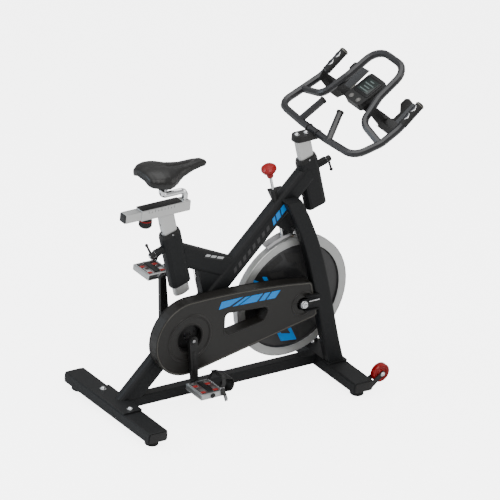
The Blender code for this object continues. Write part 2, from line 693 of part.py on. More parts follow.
def belt_loop(extra, y_low, y_high):
    """Solid round both pulleys, this much outside their rims."""
    c, f = CRANK_CENTRE, FLYWHEEL_CENTRE
    outline = capsule((c.x, c.z), CRANK_PULLEY_RADIUS + extra, (f.x, f.z), FLY_PULLEY_RADIUS + extra, 18)
    return prism(outline, y_low, y_high)


def pulley(name, centre, radius, bore, material, parent, hub_end):
    """Grooved pulley with side flanges' face and a hub that runs inwards."""
    half = BELT_WIDTH / 2 + 0.0005
    y = BELT_Y
    profile = [(bore, y - half), (radius, y - half), (radius, y + half),
               (max(bore + 0.006, radius * 0.45), y + half), (max(bore + 0.006, radius * 0.45), hub_end),
               (bore, hub_end)]
    body = turned(profile, Vector((centre.x, 0, centre.z)), SIDE, 36 if radius > 0.05 else 24)
    return finish_object(name, body, material, parent, centre)


def crank_arm(name, y, direction, material, crank):
    """Crank arm with the pedal's spindle standing out of its far end."""
    c = CRANK_CENTRE
    tip = c + direction * CRANK_LENGTH
    outline = capsule((c.x, c.z), 0.0175, (tip.x, tip.z), 0.0125, 8)
    arm = finish_object(name, prism(outline, y - ARM_THICKNESS / 2, y + ARM_THICKNESS / 2), material,
                        crank, c)
    out = math.copysign(1, y)
    start = Vector((tip.x, y, tip.z))
    end = Vector((tip.x, y + out * (ARM_THICKNESS / 2 + PEDAL_STAND_OFF + PEDAL_WIDTH - 0.006), tip.z))
    spindle = finish_object(f"{name}_spindle", rod(start, end, PEDAL_SPINDLE_RADIUS, 14))
    combine(arm, spindle, "UNION")
    return tip


def pedal(side, tip, y, metal, plastic, crank):
    """Pedal cage on its spindle, with a toe clip in front."""
    out = math.copysign(1, y)
    near = y + out * (ARM_THICKNESS / 2 + PEDAL_STAND_OFF)
    far = near + out * PEDAL_WIDTH
    low_y, high_y = min(near, far), max(near, far)
    spin = pivot(f"pedal_{side}_spin", Vector((tip.x, (near + far) / 2, tip.z)), crank)
    at = Vector((tip.x, (near + far) / 2, tip.z))
    half, thick = PEDAL_DEPTH / 2, PEDAL_HEIGHT / 2
    cage = finish_object(f"pedal_{side}", box((tip.x - half, low_y, tip.z - thick),
                                              (tip.x + half, high_y, tip.z + thick), 0.003), metal, spin, at)
    rail = 0.009
    for sign in (-1, 1):
        inner, outer = tip.x + sign * 0.0125, tip.x + sign * (half - rail)
        window = box((min(inner, outer), low_y + rail, tip.z - 0.03),
                     (max(inner, outer), high_y - rail, tip.z + 0.03))
        combine(cage, finish_object(f"pedal_{side}_window", window))
    stop = near + out * (PEDAL_WIDTH - 0.004)
    bore = rod(Vector((tip.x, near - out * 0.01, tip.z)), Vector((tip.x, stop, tip.z)),
               PEDAL_SPINDLE_RADIUS + RUNNING, 14)
    combine(cage, finish_object(f"pedal_{side}_bore", bore))
    start = tip.x + half + GAP
    nose = tip.x + CLIP_REACH
    z = tip.z
    centre_line = [Vector((start, 0, z - thick + 0.003)), Vector((nose - 0.012, 0, z - thick + 0.004)),
                   Vector((nose, 0, z + 0.012)), Vector((nose - 0.010, 0, z + 0.038)),
                   Vector((start - 0.004, 0, z + CLIP_HEIGHT - thick))]
    path = rounded_path(centre_line, [0.012, 0.03, 0.012], 3)
    rings = []
    for i, p in enumerate(path):
        along = (path[min(i + 1, len(path) - 1)] - path[max(i - 1, 0)]).normalized()
        across = along.cross(SIDE).normalized() * CLIP_THICKNESS / 2
        wide = SIDE * (CLIP_WIDTH / 2) * (0.78 if i in (0,) else 1.0)
        middle = Vector((p.x, (near + far) / 2, p.z))
        rings.append([middle + across + wide, middle + across - wide, middle - across - wide,
                      middle - across + wide])
    finish_object(f"toe_clip_{side}", loft(rings), plastic, spin, at)


def build_drive(steel, rubber, plastic, rim_metal, cage_metal, belt_rubber):
    """Crank set, pedals, belt and flywheel."""
    crank = pivot("crank_spin", CRANK_CENTRE)
    inner_y = {-1: RIGHT_ARM_Y + ARM_THICKNESS / 2 + GAP, 1: LEFT_ARM_Y - ARM_THICKNESS / 2 - GAP}
    spindle = rod(CRANK_CENTRE + SIDE * inner_y[-1], CRANK_CENTRE + SIDE * inner_y[1], SPINDLE_RADIUS, 20)
    finish_object("crank_spindle", spindle, steel, crank, CRANK_CENTRE)
    pulley("drive_pulley", CRANK_CENTRE, CRANK_PULLEY_RADIUS, SPINDLE_RADIUS + GAP, plastic, crank, -0.0395)
    for y, sign in ((RIGHT_ARM_Y, 1), (LEFT_ARM_Y, -1)):
        side = side_name(y)
        tip = crank_arm(f"crank_arm_{side}", y, CRANK_DIRECTION * sign, plastic, crank)
        pedal(side, tip, y, cage_metal, plastic, crank)
    belt = finish_object("drive_belt", belt_loop(GAP * 2 + BELT_THICKNESS, BELT_Y - BELT_WIDTH / 2,
                                                 BELT_Y + BELT_WIDTH / 2), belt_rubber)
    combine(belt, finish_object("belt_inside", belt_loop(GAP * 2, -0.1, 0.0)))
    wheel = pivot("flywheel_spin", FLYWHEEL_CENTRE)
    r, half, bore = FLYWHEEL_RADIUS, FLYWHEEL_THICKNESS / 2, AXLE_RADIUS + RUNNING
    rim, web, hub = FLYWHEEL_RIM, 0.007, 0.030
    profile = [(bore, -hub + 0.004), (0.026, -hub + 0.004), (0.030, -hub + 0.008), (0.034, -web),
               (r - rim - 0.004, -web), (r - rim, -half), (r - 0.0015, -half), (r, -half + 0.0015),
               (r, half - 0.0015), (r - 0.0015, half), (r - rim, half), (r - rim - 0.004, web),
               (0.034, web), (0.030, hub - 0.008), (0.026, hub - 0.004), (bore, hub - 0.004)]
    body = turned(profile, FLYWHEEL_CENTRE, SIDE, 48)
    finish_object("flywheel", body, rim_metal, wheel, FLYWHEEL_CENTRE)
    pulley("flywheel_pulley", FLYWHEEL_CENTRE, FLY_PULLEY_RADIUS, bore, steel, wheel, -hub + 0.004 - GAP)


# ---------------------------------------------------------------- brake
def rod_point(distance):
    """Point on the brake rod's axis, this far below its top."""
    return BRAKE_ROD_TOP - UP * distance


def build_brake(paint, steel, red, pad_black):
    """Resistance knob and rod, their sleeve, and the pad arm over the flywheel."""
    crossing = main_tube_point(0.09)
    top_gap = (BRAKE_ROD_TOP - (crossing + MAIN_NORMAL * MAIN_TUBE_HEIGHT / 2)).dot(MAIN_NORMAL)
    to_surface = top_gap / UP.dot(MAIN_NORMAL)
    surface = rod_point(to_surface)
    guide = turned([(BRAKE_ROD_RADIUS + RUNNING, -0.02), (BRAKE_SLEEVE_RADIUS, -0.02),
                    (BRAKE_SLEEVE_RADIUS, BRAKE_SLEEVE_HEIGHT), (BRAKE_ROD_RADIUS + RUNNING, BRAKE_SLEEVE_HEIGHT)],
                   surface, UP, 20)
    guide = finish_object("brake_rod_sleeve", guide, paint)
    combine(guide, finish_object("brake_sleeve_cut", main_tube_solid(GAP)))
    # The arm lies along the rim; its pivot is ahead of the rod.
    through = MAIN_TUBE_HEIGHT / abs(UP.dot(MAIN_NORMAL))
    rim_gap = BRAKE_PAD_CLEARANCE + BRAKE_ARM_THICKNESS + BRAKE_ROD_SEAT
    length = to_surface + through
    while (rod_point(length) - FLYWHEEL_CENTRE).length > FLYWHEEL_RADIUS + rim_gap:
        length += 0.0005
    press_point = rod_point(length)
    outward = (press_point - FLYWHEEL_CENTRE).normalized()
    tangent = Vector((outward.z, 0, -outward.x))
    hinge = press_point + tangent * BRAKE_PIVOT_REACH * 0.55 - outward * 0.004
    place = pivot("brake_press", BRAKE_ROD_TOP)
    rod_body = rod(BRAKE_ROD_TOP, press_point, BRAKE_ROD_RADIUS, 16)
    finish_object("brake_rod", rod_body, steel, place, BRAKE_ROD_TOP)
    turn = pivot("resistance_turn", BRAKE_ROD_TOP, place)
    r, h = BRAKE_KNOB_RADIUS, BRAKE_KNOB_HEIGHT
    profile = [(0, 0), (r * 0.42, 0), (r * 0.46, h * 0.22), (r * 0.80, h * 0.42), (r, h * 0.62),
               (r * 0.97, h * 0.80), (r * 0.70, h * 0.95), (0, h)]
    knob = turned(profile, BRAKE_ROD_TOP + UP * GAP, UP, 24)
    finish_object("resistance_knob", knob, red, turn, BRAKE_ROD_TOP)
    # Pad arm: a bar with a curved pad face concentric with the rim.
    swing = pivot("brake_swing", hinge)
    outer = FLYWHEEL_RADIUS + BRAKE_PAD_CLEARANCE + BRAKE_ARM_THICKNESS
    front_angle = math.atan2(hinge.z - FLYWHEEL_CENTRE.z, hinge.x - FLYWHEEL_CENTRE.x) - 0.06
    rear_angle = front_angle + BRAKE_ARM_LENGTH / outer
    c = (FLYWHEEL_CENTRE.x, FLYWHEEL_CENTRE.z)
    outline = arc(c, outer, front_angle, rear_angle, 8)
    outline += list(reversed(arc(c, outer - BRAKE_ARM_THICKNESS, front_angle, rear_angle, 8)))
    arm = prism(outline, -BRAKE_ARM_WIDTH / 2, BRAKE_ARM_WIDTH / 2)
    arm = finish_object("brake_arm", arm, steel, swing, hinge)
    ear = capsule((hinge.x, hinge.z), 0.008, (hinge.x - outward.x * 0.006, hinge.z - outward.z * 0.006),
                  0.0079, 8)
    combine(arm, finish_object("brake_arm_ear", prism(ear, -0.009, 0.009)), "UNION")
    pin_hole = rod(hinge - SIDE * 0.05, hinge + SIDE * 0.05, 0.003 + RUNNING, 12)
    combine(arm, finish_object("brake_arm_hole", pin_hole))
    # Bracket: two cheeks and a top plate that hang under the main tube, with the pin.
    width = 0.024
    lift = (main_tube_point(hinge.x) - hinge).dot(MAIN_NORMAL) - MAIN_TUBE_HEIGHT / 2
    top = hinge + MAIN_NORMAL * (lift + 0.02)
    bracket = None
    for sign in (-1, 1):
        inner, outer_y = sign * (BRAKE_ARM_WIDTH / 2 + 0.001), sign * (BRAKE_ARM_WIDTH / 2 + 0.004)
        outline = [(hinge.x - outward.x * 0.009 - 0.006, hinge.z - outward.z * 0.009),
                   (hinge.x - outward.x * 0.009 + 0.006, hinge.z - outward.z * 0.009 - 0.003),
                   (top.x + MAIN_AXIS.x * width, top.z + MAIN_AXIS.z * width),
                   (top.x - MAIN_AXIS.x * width, top.z - MAIN_AXIS.z * width)]
        cheek = finish_object("brake_cheek", prism(outline, min(inner, outer_y), max(inner, outer_y)))
        if bracket is None:
            bracket = cheek
            bracket.name = bracket.data.name = "brake_bracket"
            bracket.data.materials.append(paint)
        else:
            combine(bracket, cheek, "UNION")
    pin = rod(hinge - SIDE * (BRAKE_ARM_WIDTH / 2 + 0.0025), hinge + SIDE * (BRAKE_ARM_WIDTH / 2 + 0.0025),
              0.003, 12)
    combine(bracket, finish_object("brake_pin", pin), "UNION")
    combine(bracket, finish_object("brake_bracket_cut", main_tube_solid(GAP)))


# ---------------------------------------------------------------- seat
def lock_lever(name, foot_point, top_point, direction, sweep, material):
    """Ratchet lever on a sleeve's boss: a hub on a stud, an arm and a ball end."""
    _, boss_end = lock_boss(foot_point, top_point, direction)
    stud_start = boss_end - direction * (LOCK_BOSS_LENGTH - 0.008)
    start = boss_end + direction * GAP * 2
    end = start + direction * 0.020
    turn = pivot(f"{name}_turn", boss_end)
    hub = turned([(0, 0), (0.005, 0), (0.005, (start - stud_start).length), (0.0105, (start - stud_start).length),
                  (0.0115, (end - stud_start).length - 0.002), (0.009, (end - stud_start).length),
                  (0, (end - stud_start).length)], stud_start, direction, 18)
    lever = finish_object(name, hub, material, turn, boss_end)
    grip_start = end - direction * 0.009
    grip_end = grip_start + sweep
    taper = loft([[grip_start + sweep.normalized().cross(direction).normalized() * 0.006 * math.cos(a)
                   + direction * 0.005 * math.sin(a)
                   for a in [2 * math.pi * k / 10 for k in range(10)]],
                  [grip_end + sweep.normalized().cross(direction).normalized() * 0.0035 * math.cos(a)
                   + direction * 0.0035 * math.sin(a)
                   for a in [2 * math.pi * k / 10 for k in range(10)]]])
    combine(lever, finish_object(f"{name}_grip", taper), "UNION")
    ball = bmesh.new()
    bmesh.ops.create_icosphere(ball, subdivisions=2, radius=0.0065)
    bmesh.ops.translate(ball, verts=ball.verts, vec=grip_end)
    combine(lever, finish_object(f"{name}_ball", ball), "UNION")


def saddle_ring(share):
    """One cross-section of the saddle, from the rear (0) to the nose (1)."""
    widths = [(0.0, 0.100), (0.10, 0.150), (0.28, 0.168), (0.45, 0.118), (0.62, 0.066),
              (0.80, 0.050), (0.94, 0.044), (1.0, 0.026)]
    tops = [(0.0, -0.016), (0.10, -0.003), (0.28, 0.0), (0.45, -0.008), (0.62, -0.012),
            (0.80, -0.009), (0.94, -0.014), (1.0, -0.026)]
    depths = [(0.0, 0.030), (0.10, 0.052), (0.28, 0.072), (0.45, 0.068), (0.62, 0.044),
              (0.80, 0.032), (0.94, 0.026), (1.0, 0.012)]

    def read(table):
        for (s0, v0), (s1, v1) in zip(table, table[1:]):
            if share <= s1:
                return v0 + (v1 - v0) * (share - s0) / (s1 - s0)
        return table[-1][1]

    width = read(widths) * SADDLE_WIDTH / 0.168
    x = SADDLE_REAR_X + SADDLE_LENGTH * share
    top, depth = SADDLE_TOP_Z + read(tops), read(depths)
    half = width / 2
    under = min(depth * 0.62, 0.034)
    profile = [(0, top - 0.002), (half * 0.45, top), (half * 0.82, top - depth * 0.16),
               (half, top - depth * 0.45), (half * 0.93, top - depth * 0.80), (half * 0.78, top - depth),
               (half * 0.66, top - depth), (half * 0.5, top - under), (0, top - under)]
    ring = [Vector((x, y, z)) for y, z in profile]
    return ring + [Vector((x, -y, z)) for y, z in reversed(profile[1:-1])]


def build_seat(chrome, paint, plastic, leather, rubber):
    """Seat post, slider, bent saddle tube, saddle and its knob."""
    slider_top = SLIDER_Z + SLIDER_SIZE / 2
    slider_low = SLIDER_Z - SLIDER_SIZE / 2
    lift = pivot("seat_post_slide", SEAT_SLEEVE_TOP)
    foot_point = SEAT_SLEEVE_FOOT - UP * SEAT_POST_BELOW
    head_point = SEAT_SLEEVE_TOP + UP * ((slider_low - SEAT_SLEEVE_TOP.z) / UP.z + 0.02)
    post = finish_object("seat_post", bar(foot_point, head_point, post_section(), AHEAD), chrome, lift,
                         SEAT_SLEEVE_TOP)
    combine(post, finish_object("seat_post_cut", box((-1, -0.1, slider_low - GAP), (0.5, 0.1, 1.2))))
    half = SLIDER_SIZE / 2
    outer = finish_object("slider_sleeve", box((SLIDER_REAR_X, -half, slider_low),
                                               (SLIDER_FRONT_X, half, slider_top), 0.003), chrome, lift,
                          SEAT_SLEEVE_TOP)
    hole = half - SLIDER_WALL
    combine(outer, finish_object("slider_bore", box((SLIDER_REAR_X - 0.01, -hole, SLIDER_Z - hole),
                                                    (SLIDER_FRONT_X + 0.01, hole, SLIDER_Z + hole))))
    tube_x = SLIDER_FRONT_X - SADDLE_TUBE_RADIUS - 0.004
    slot_start = tube_x - SADDLE_TUBE_RADIUS - 0.003
    slot = box((slot_start, -SADDLE_TUBE_RADIUS - 0.001, SLIDER_Z), (SLIDER_FRONT_X + 0.01,
               SADDLE_TUBE_RADIUS + 0.001, slider_top + 0.02))
    combine(outer, finish_object("slider_slot", slot))
    knob_place = Vector((SLIDER_REAR_X + KNOB_INSET, 0, slider_low))
    stud_hole = rod(knob_place - Vector((0, 0, 0.01)), knob_place + Vector((0, 0, SLIDER_WALL + 0.001)),
                    0.004 + RUNNING, 14)
    combine(outer, finish_object("slider_stud_hole", stud_hole))
    turn = pivot("slider_knob_turn", knob_place, lift)
    h = KNOB_HEIGHT
    profile = [(0, SLIDER_WALL), (0, -h), (KNOB_RADIUS * 0.86, -h), (KNOB_RADIUS, -h + 0.004),
               (KNOB_RADIUS, -0.010), (KNOB_RADIUS * 0.9, -0.008), (KNOB_RADIUS * 0.9, -GAP),
               (0.004, -GAP), (0.004, SLIDER_WALL)]
    knob = turned(profile, knob_place, Vector((0, 0, 1)), 24)
    finish_object("slider_knob", knob, rubber, turn, knob_place)
    slide = pivot("seat_slide", Vector((SLIDER_REAR_X, 0, SLIDER_Z)), lift)
    at = Vector((SLIDER_REAR_X, 0, SLIDER_Z))
    fit = hole - GAP
    finish_object("seat_slider", box((SLIDER_REAR_X - SLIDER_OVERHANG, -fit, SLIDER_Z - fit),
                                     (SLIDER_FRONT_X - 0.002, fit, SLIDER_Z + fit), 0.002), chrome, slide, at)
    level = slider_top + SADDLE_TUBE_LIFT
    hinge = Vector((SADDLE_PIVOT_X, 0, level + SADDLE_PIVOT_LIFT))
    start_z = SLIDER_Z + fit + GAP
    path = [Vector((tube_x, 0, start_z)), Vector((tube_x, 0, level)), Vector((SADDLE_PIVOT_X, 0, level)),
            hinge - Vector((0, 0, 0.004))]
    bend = SADDLE_TUBE_RADIUS * 1.9
    body = pipe("saddle_tube_path", rounded_path(path, [bend, bend * 0.8], 6), SADDLE_TUBE_RADIUS, 16)
    tube = finish_object("saddle_tube", body, chrome, slide, at)
    cradle = rod(hinge - SIDE * 0.05, hinge + SIDE * 0.05, SADDLE_BARREL_RADIUS + GAP, 36)
    combine(tube, finish_object("saddle_tube_cradle", cradle))
    tilt = pivot("saddle_tilt", hinge, slide)
    half_x, half_y, clamp_top = 0.021, 0.019, 0.014
    clamp = finish_object("saddle_clamp", box(hinge + Vector((-half_x, -half_y, -0.004)),
                                              hinge + Vector((half_x, half_y, clamp_top)), 0.003),
                          paint, tilt, hinge)
    barrel_half = half_y - 0.0006
    barrel = rod(hinge - SIDE * barrel_half, hinge + SIDE * barrel_half, SADDLE_BARREL_RADIUS, 36)
    combine(clamp, finish_object("saddle_barrel", barrel), "UNION")
    shares = [0.0, 0.05, 0.10, 0.19, 0.28, 0.36, 0.45, 0.53, 0.62, 0.71, 0.80, 0.88, 0.94, 1.0]
    saddle = finish_object("saddle", loft([saddle_ring(s) for s in shares]), leather, tilt, hinge)
    pocket = box(hinge + Vector((-half_x - GAP, -half_y - GAP, -0.02)),
                 hinge + Vector((half_x + GAP, half_y + GAP, clamp_top + GAP)))
    combine(saddle, finish_object("saddle_pocket", pocket))
    sweep = Vector((-0.004, 0.030, 0.026))
    lock_lever("seat_lock_lever", SEAT_SLEEVE_FOOT, SEAT_SLEEVE_TOP, -AHEAD, sweep, plastic)
    lock_lever("bar_lock_lever", HEAD_SLEEVE_FOOT, HEAD_SLEEVE_TOP, AHEAD,
               Vector((0.010, -0.012, -0.038)), plastic)


# ---------------------------------------------------------------- handlebar
def slope_point(start, along, above, y):
    """Point on the console's sloping plane: forwards-up, out of the plane, sideways."""
    u = Vector((math.cos(CONSOLE_SLOPE), 0, math.sin(CONSOLE_SLOPE)))
    n = Vector((-math.sin(CONSOLE_SLOPE), 0, math.cos(CONSOLE_SLOPE)))
    return start + u * along + n * above + SIDE * y


def slope_slab(start, outline, low, high):
    """Outline (along, sideways) in the sloping plane, between two heights above it."""
    return loft([[slope_point(start, a, h, y) for a, y in outline] for h in (low, high)])


def bar_place(ahead, y, above):
    """Place relative to the middle of the base bar."""
    return Vector((BAR_POST_TOP.x + BAR_AHEAD + ahead, y, BAR_POST_TOP.z + BAR_ABOVE + above))


def build_handlebar(chrome, paint, bar_paint, plastic, dark):
    """Handlebar post, stem plate, looped bar, console and its bracket."""
    lift = pivot("handlebar_post_slide", HEAD_SLEEVE_TOP)
    at = HEAD_SLEEVE_TOP
    foot_point = BAR_POST_TOP - UP * BAR_POST_LENGTH
    stem_low = BAR_POST_TOP.z + BAR_ABOVE - STEM_THICKNESS - 0.001
    post = finish_object("handlebar_post", bar(foot_point, BAR_POST_TOP + UP * 0.03, post_section(), AHEAD),
                         chrome, lift, at)
    combine(post, finish_object("bar_post_cut", box((-0.5, -0.1, stem_low - GAP), (1, 0.1, 1.3))))
    base = bar_place(0, 0, 0)
    outline = rounded_rectangle(STEM_LENGTH, STEM_WIDTH, STEM_WIDTH * 0.46, 5)
    centre_x = base.x - STEM_LENGTH / 2 + 0.024
    plate = finish_object("stem_plate", slab(outline, stem_low, stem_low + STEM_THICKNESS,
                                             (centre_x, 0.0)), paint, lift, at)
    half = BAR_HALF_WIDTH
    side_points = [bar_place(0.277, half - 0.006, 0.147), bar_place(0.190, half - 0.005, 0.069),
                   bar_place(0.118, half, 0.033), bar_place(0.014, half - 0.012, 0.0),
                   bar_place(0, half * 0.30, 0.0)]
    corners = side_points + [Vector((p.x, -p.y, p.z)) for p in reversed(side_points)]
    radii = [0.10, 0.10, 0.052, 0.10, 0.10, 0.052, 0.10, 0.10]
    main_path = rounded_path(corners, radii, 5)
    handlebar = finish_object("handlebar", pipe("bar_path", main_path, BAR_RADIUS), bar_paint, lift, at)
    loop = [bar_place(0.115, half - 0.004, 0.031), bar_place(0.115, half * 0.52, 0.062),
            bar_place(0.200, half * 0.40, 0.131), bar_place(0.316, half * 0.37, 0.212)]
    corners = loop + [Vector((p.x, -p.y, p.z)) for p in reversed(loop)]
    path = rounded_path(corners, [0.045, 0.08, 0.060, 0.060, 0.08, 0.045], 6)
    combine(handlebar, finish_object("bar_loop", pipe("loop_path", path, BAR_RADIUS)), "UNION")
    for side in (-1, 1):
        start, end = bar_place(0, side * half * 0.37, 0.0), bar_place(0.0695, side * half * 0.215, 0.083)
        stub = pipe("bar_stub_path", [start, end], BAR_RADIUS * 0.96)
        combine(handlebar, finish_object(f"bar_stub_{side_name(side)}", stub), "UNION")
    saddle_cut = pipe("stem_cut_path", [base - SIDE * 0.1, base + SIDE * 0.1], BAR_RADIUS + GAP * 2, 24)
    combine(plate, finish_object("stem_bar_cut", saddle_cut))
    # Bracket plate across the two side tubes, with a forked lug at each end.
    start = bar_place(0.176, 0, 0.062)
    reach = half - 0.005 - BAR_RADIUS - 0.002
    wide = 0.036
    half_outline = [(0.0, 0.0), (0.0, 0.050), (0.006, reach * 0.55), (0.006, reach), (0.034, reach),
                    (0.094, reach - 0.018), (0.104, reach - 0.024), (0.110, reach - 0.036),
                    (0.104, reach - 0.052), (0.090, reach - 0.062), (0.052, reach - 0.052),
                    (wide, reach * 0.60), (wide, 0.050), (0.060, 0.030), (0.060, 0.0)]
    outline = half_outline[1:-1] + [(a, -y) for a, y in reversed(half_outline[1:-1])]
    bracket = finish_object("console_bracket", slope_slab(start, outline, -0.003, 0.0), plastic, lift, at)
    low = bar_place(0.1765, 0, 0.066)
    body_start = slope_point(low, -0.014, 0.0, 0)
    rounded = [(a + CONSOLE_LENGTH / 2, y)
               for a, y in rounded_rectangle(CONSOLE_LENGTH, CONSOLE_WIDTH, 0.014, 4)]
    console = finish_object("console", slope_slab(body_start, rounded, GAP, CONSOLE_THICKNESS), plastic,
                            lift, at)
    normal = Vector((-math.sin(CONSOLE_SLOPE), 0, math.cos(CONSOLE_SLOPE)))
    for side in (-1, 1):
        y = side * 0.020
        seat = slope_point(body_start, 0.018, CONSOLE_THICKNESS - 0.004, y)
        well = rod(seat, seat + normal * 0.02, BUTTON_RADIUS + RUNNING, 20)
        combine(console, finish_object(f"button_well_{side_name(side)}", well))
        place = pivot(f"button_{side_name(side)}_press", seat, lift)
        profile = [(0, 0), (BUTTON_RADIUS, 0), (BUTTON_RADIUS, 0.0038), (BUTTON_RADIUS * 0.7, 0.0050),
                   (0, 0.0053)]
        cap = turned(profile, seat + normal * (BUTTON_TRAVEL + GAP), normal, 20)
        finish_object(f"button_{side_name(side)}", cap, dark, place, seat)


# ---------------------------------------------------------------- the machine
def main():
    """Clear the scene and build every piece."""
    for thing in list(bpy.data.objects):
        bpy.data.objects.remove(thing)
    paint = make_material("frame_paint", (0.032, 0.034, 0.036), 0.45, 0.2)
    plastic = make_material("black_plastic", (0.030, 0.029, 0.027), 0.42)
    bar_paint = make_material("bar_paint", (0.060, 0.062, 0.068), 0.38, 0.2)
    chrome = make_material("chrome", (0.62, 0.63, 0.63), 0.16, 1.0)
    steel = make_material("steel", (0.40, 0.40, 0.41), 0.32, 1.0)
    wheel_metal = make_material("flywheel_metal", (0.55, 0.56, 0.56), 0.22, 1.0)
    cage_metal = make_material("pedal_alloy", (0.50, 0.51, 0.52), 0.34, 1.0)
    rubber = make_material("rubber", (0.022, 0.022, 0.022), 0.75)
    leather = make_material("saddle_cover", (0.024, 0.023, 0.022), 0.48)
    red = make_material("red_plastic", (0.55, 0.012, 0.016), 0.22)
    build_base(paint, rubber, red)
    sleeve("seat_sleeve", SEAT_SLEEVE_FOOT, SEAT_SLEEVE_TOP, -AHEAD, paint)
    sleeve("head_sleeve", HEAD_SLEEVE_FOOT, HEAD_SLEEVE_TOP, AHEAD, paint)
    collar("seat_bushing", SEAT_SLEEVE_TOP, plastic)
    collar("head_bushing", HEAD_SLEEVE_TOP, plastic)
    build_main_tube(paint)
    build_link(paint)
    build_fork(paint, steel)
    build_guard(plastic)
    build_drive(steel, rubber, plastic, wheel_metal, cage_metal, rubber)
    build_brake(paint, steel, red, rubber)
    build_seat(chrome, paint, plastic, leather, rubber)
    build_handlebar(chrome, paint, bar_paint, plastic, rubber)


main()
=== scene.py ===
"""Looks of an indoor cycle, built round its fixed frame.

Metres, +X towards the flywheel and handlebar, +Y to the rider's left, +Z up.
Every piece stands at its place in its mesh, and rides on a body of the frame.
"""

from __future__ import annotations

import logging
import math
from dataclasses import dataclass, field
from enum import Enum
from typing import Iterable, Sequence

import bmesh
import bpy
from mathutils import Matrix, Vector


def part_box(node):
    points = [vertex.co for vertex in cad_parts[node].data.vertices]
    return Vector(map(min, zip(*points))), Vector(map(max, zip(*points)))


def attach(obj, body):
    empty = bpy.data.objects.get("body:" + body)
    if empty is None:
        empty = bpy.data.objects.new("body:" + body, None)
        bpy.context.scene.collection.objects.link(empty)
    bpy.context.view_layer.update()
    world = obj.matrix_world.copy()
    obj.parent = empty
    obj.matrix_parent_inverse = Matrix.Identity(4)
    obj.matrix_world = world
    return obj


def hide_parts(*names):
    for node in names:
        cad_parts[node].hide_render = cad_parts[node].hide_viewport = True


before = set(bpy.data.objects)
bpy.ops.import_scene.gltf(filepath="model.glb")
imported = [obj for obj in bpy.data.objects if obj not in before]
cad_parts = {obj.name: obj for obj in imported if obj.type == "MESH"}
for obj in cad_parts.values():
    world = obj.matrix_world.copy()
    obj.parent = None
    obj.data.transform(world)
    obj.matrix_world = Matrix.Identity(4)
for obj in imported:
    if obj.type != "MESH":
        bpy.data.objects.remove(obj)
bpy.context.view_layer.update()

LOG = logging.getLogger("indoor_cycle")
SIDE = Vector((0.0, 1.0, 0.0))
RISE = Vector((0.0, 0.0, 1.0))
FORWARDS = Vector((1.0, 0.0, 0.0))
LIFT = 0.0003            # how far a decal or a cover stands off what it lies on
Outline = list[tuple[float, float]]
BMesh = bmesh.types.BMesh


# ------------------------------------------------------------------ finishes
class Grain(Enum):
    """Small relief of a surface."""

    POWDER = "orange-peel of a powder coat"
    MOULD = "spark-eroded texture of a moulding"
    LEATHER = "cells of a leatherette"
    BRUSHED = "fine lines of a ground metal"
    SMOOTH = "polish with faint waviness"
    CAST = "sand-cast roughness"


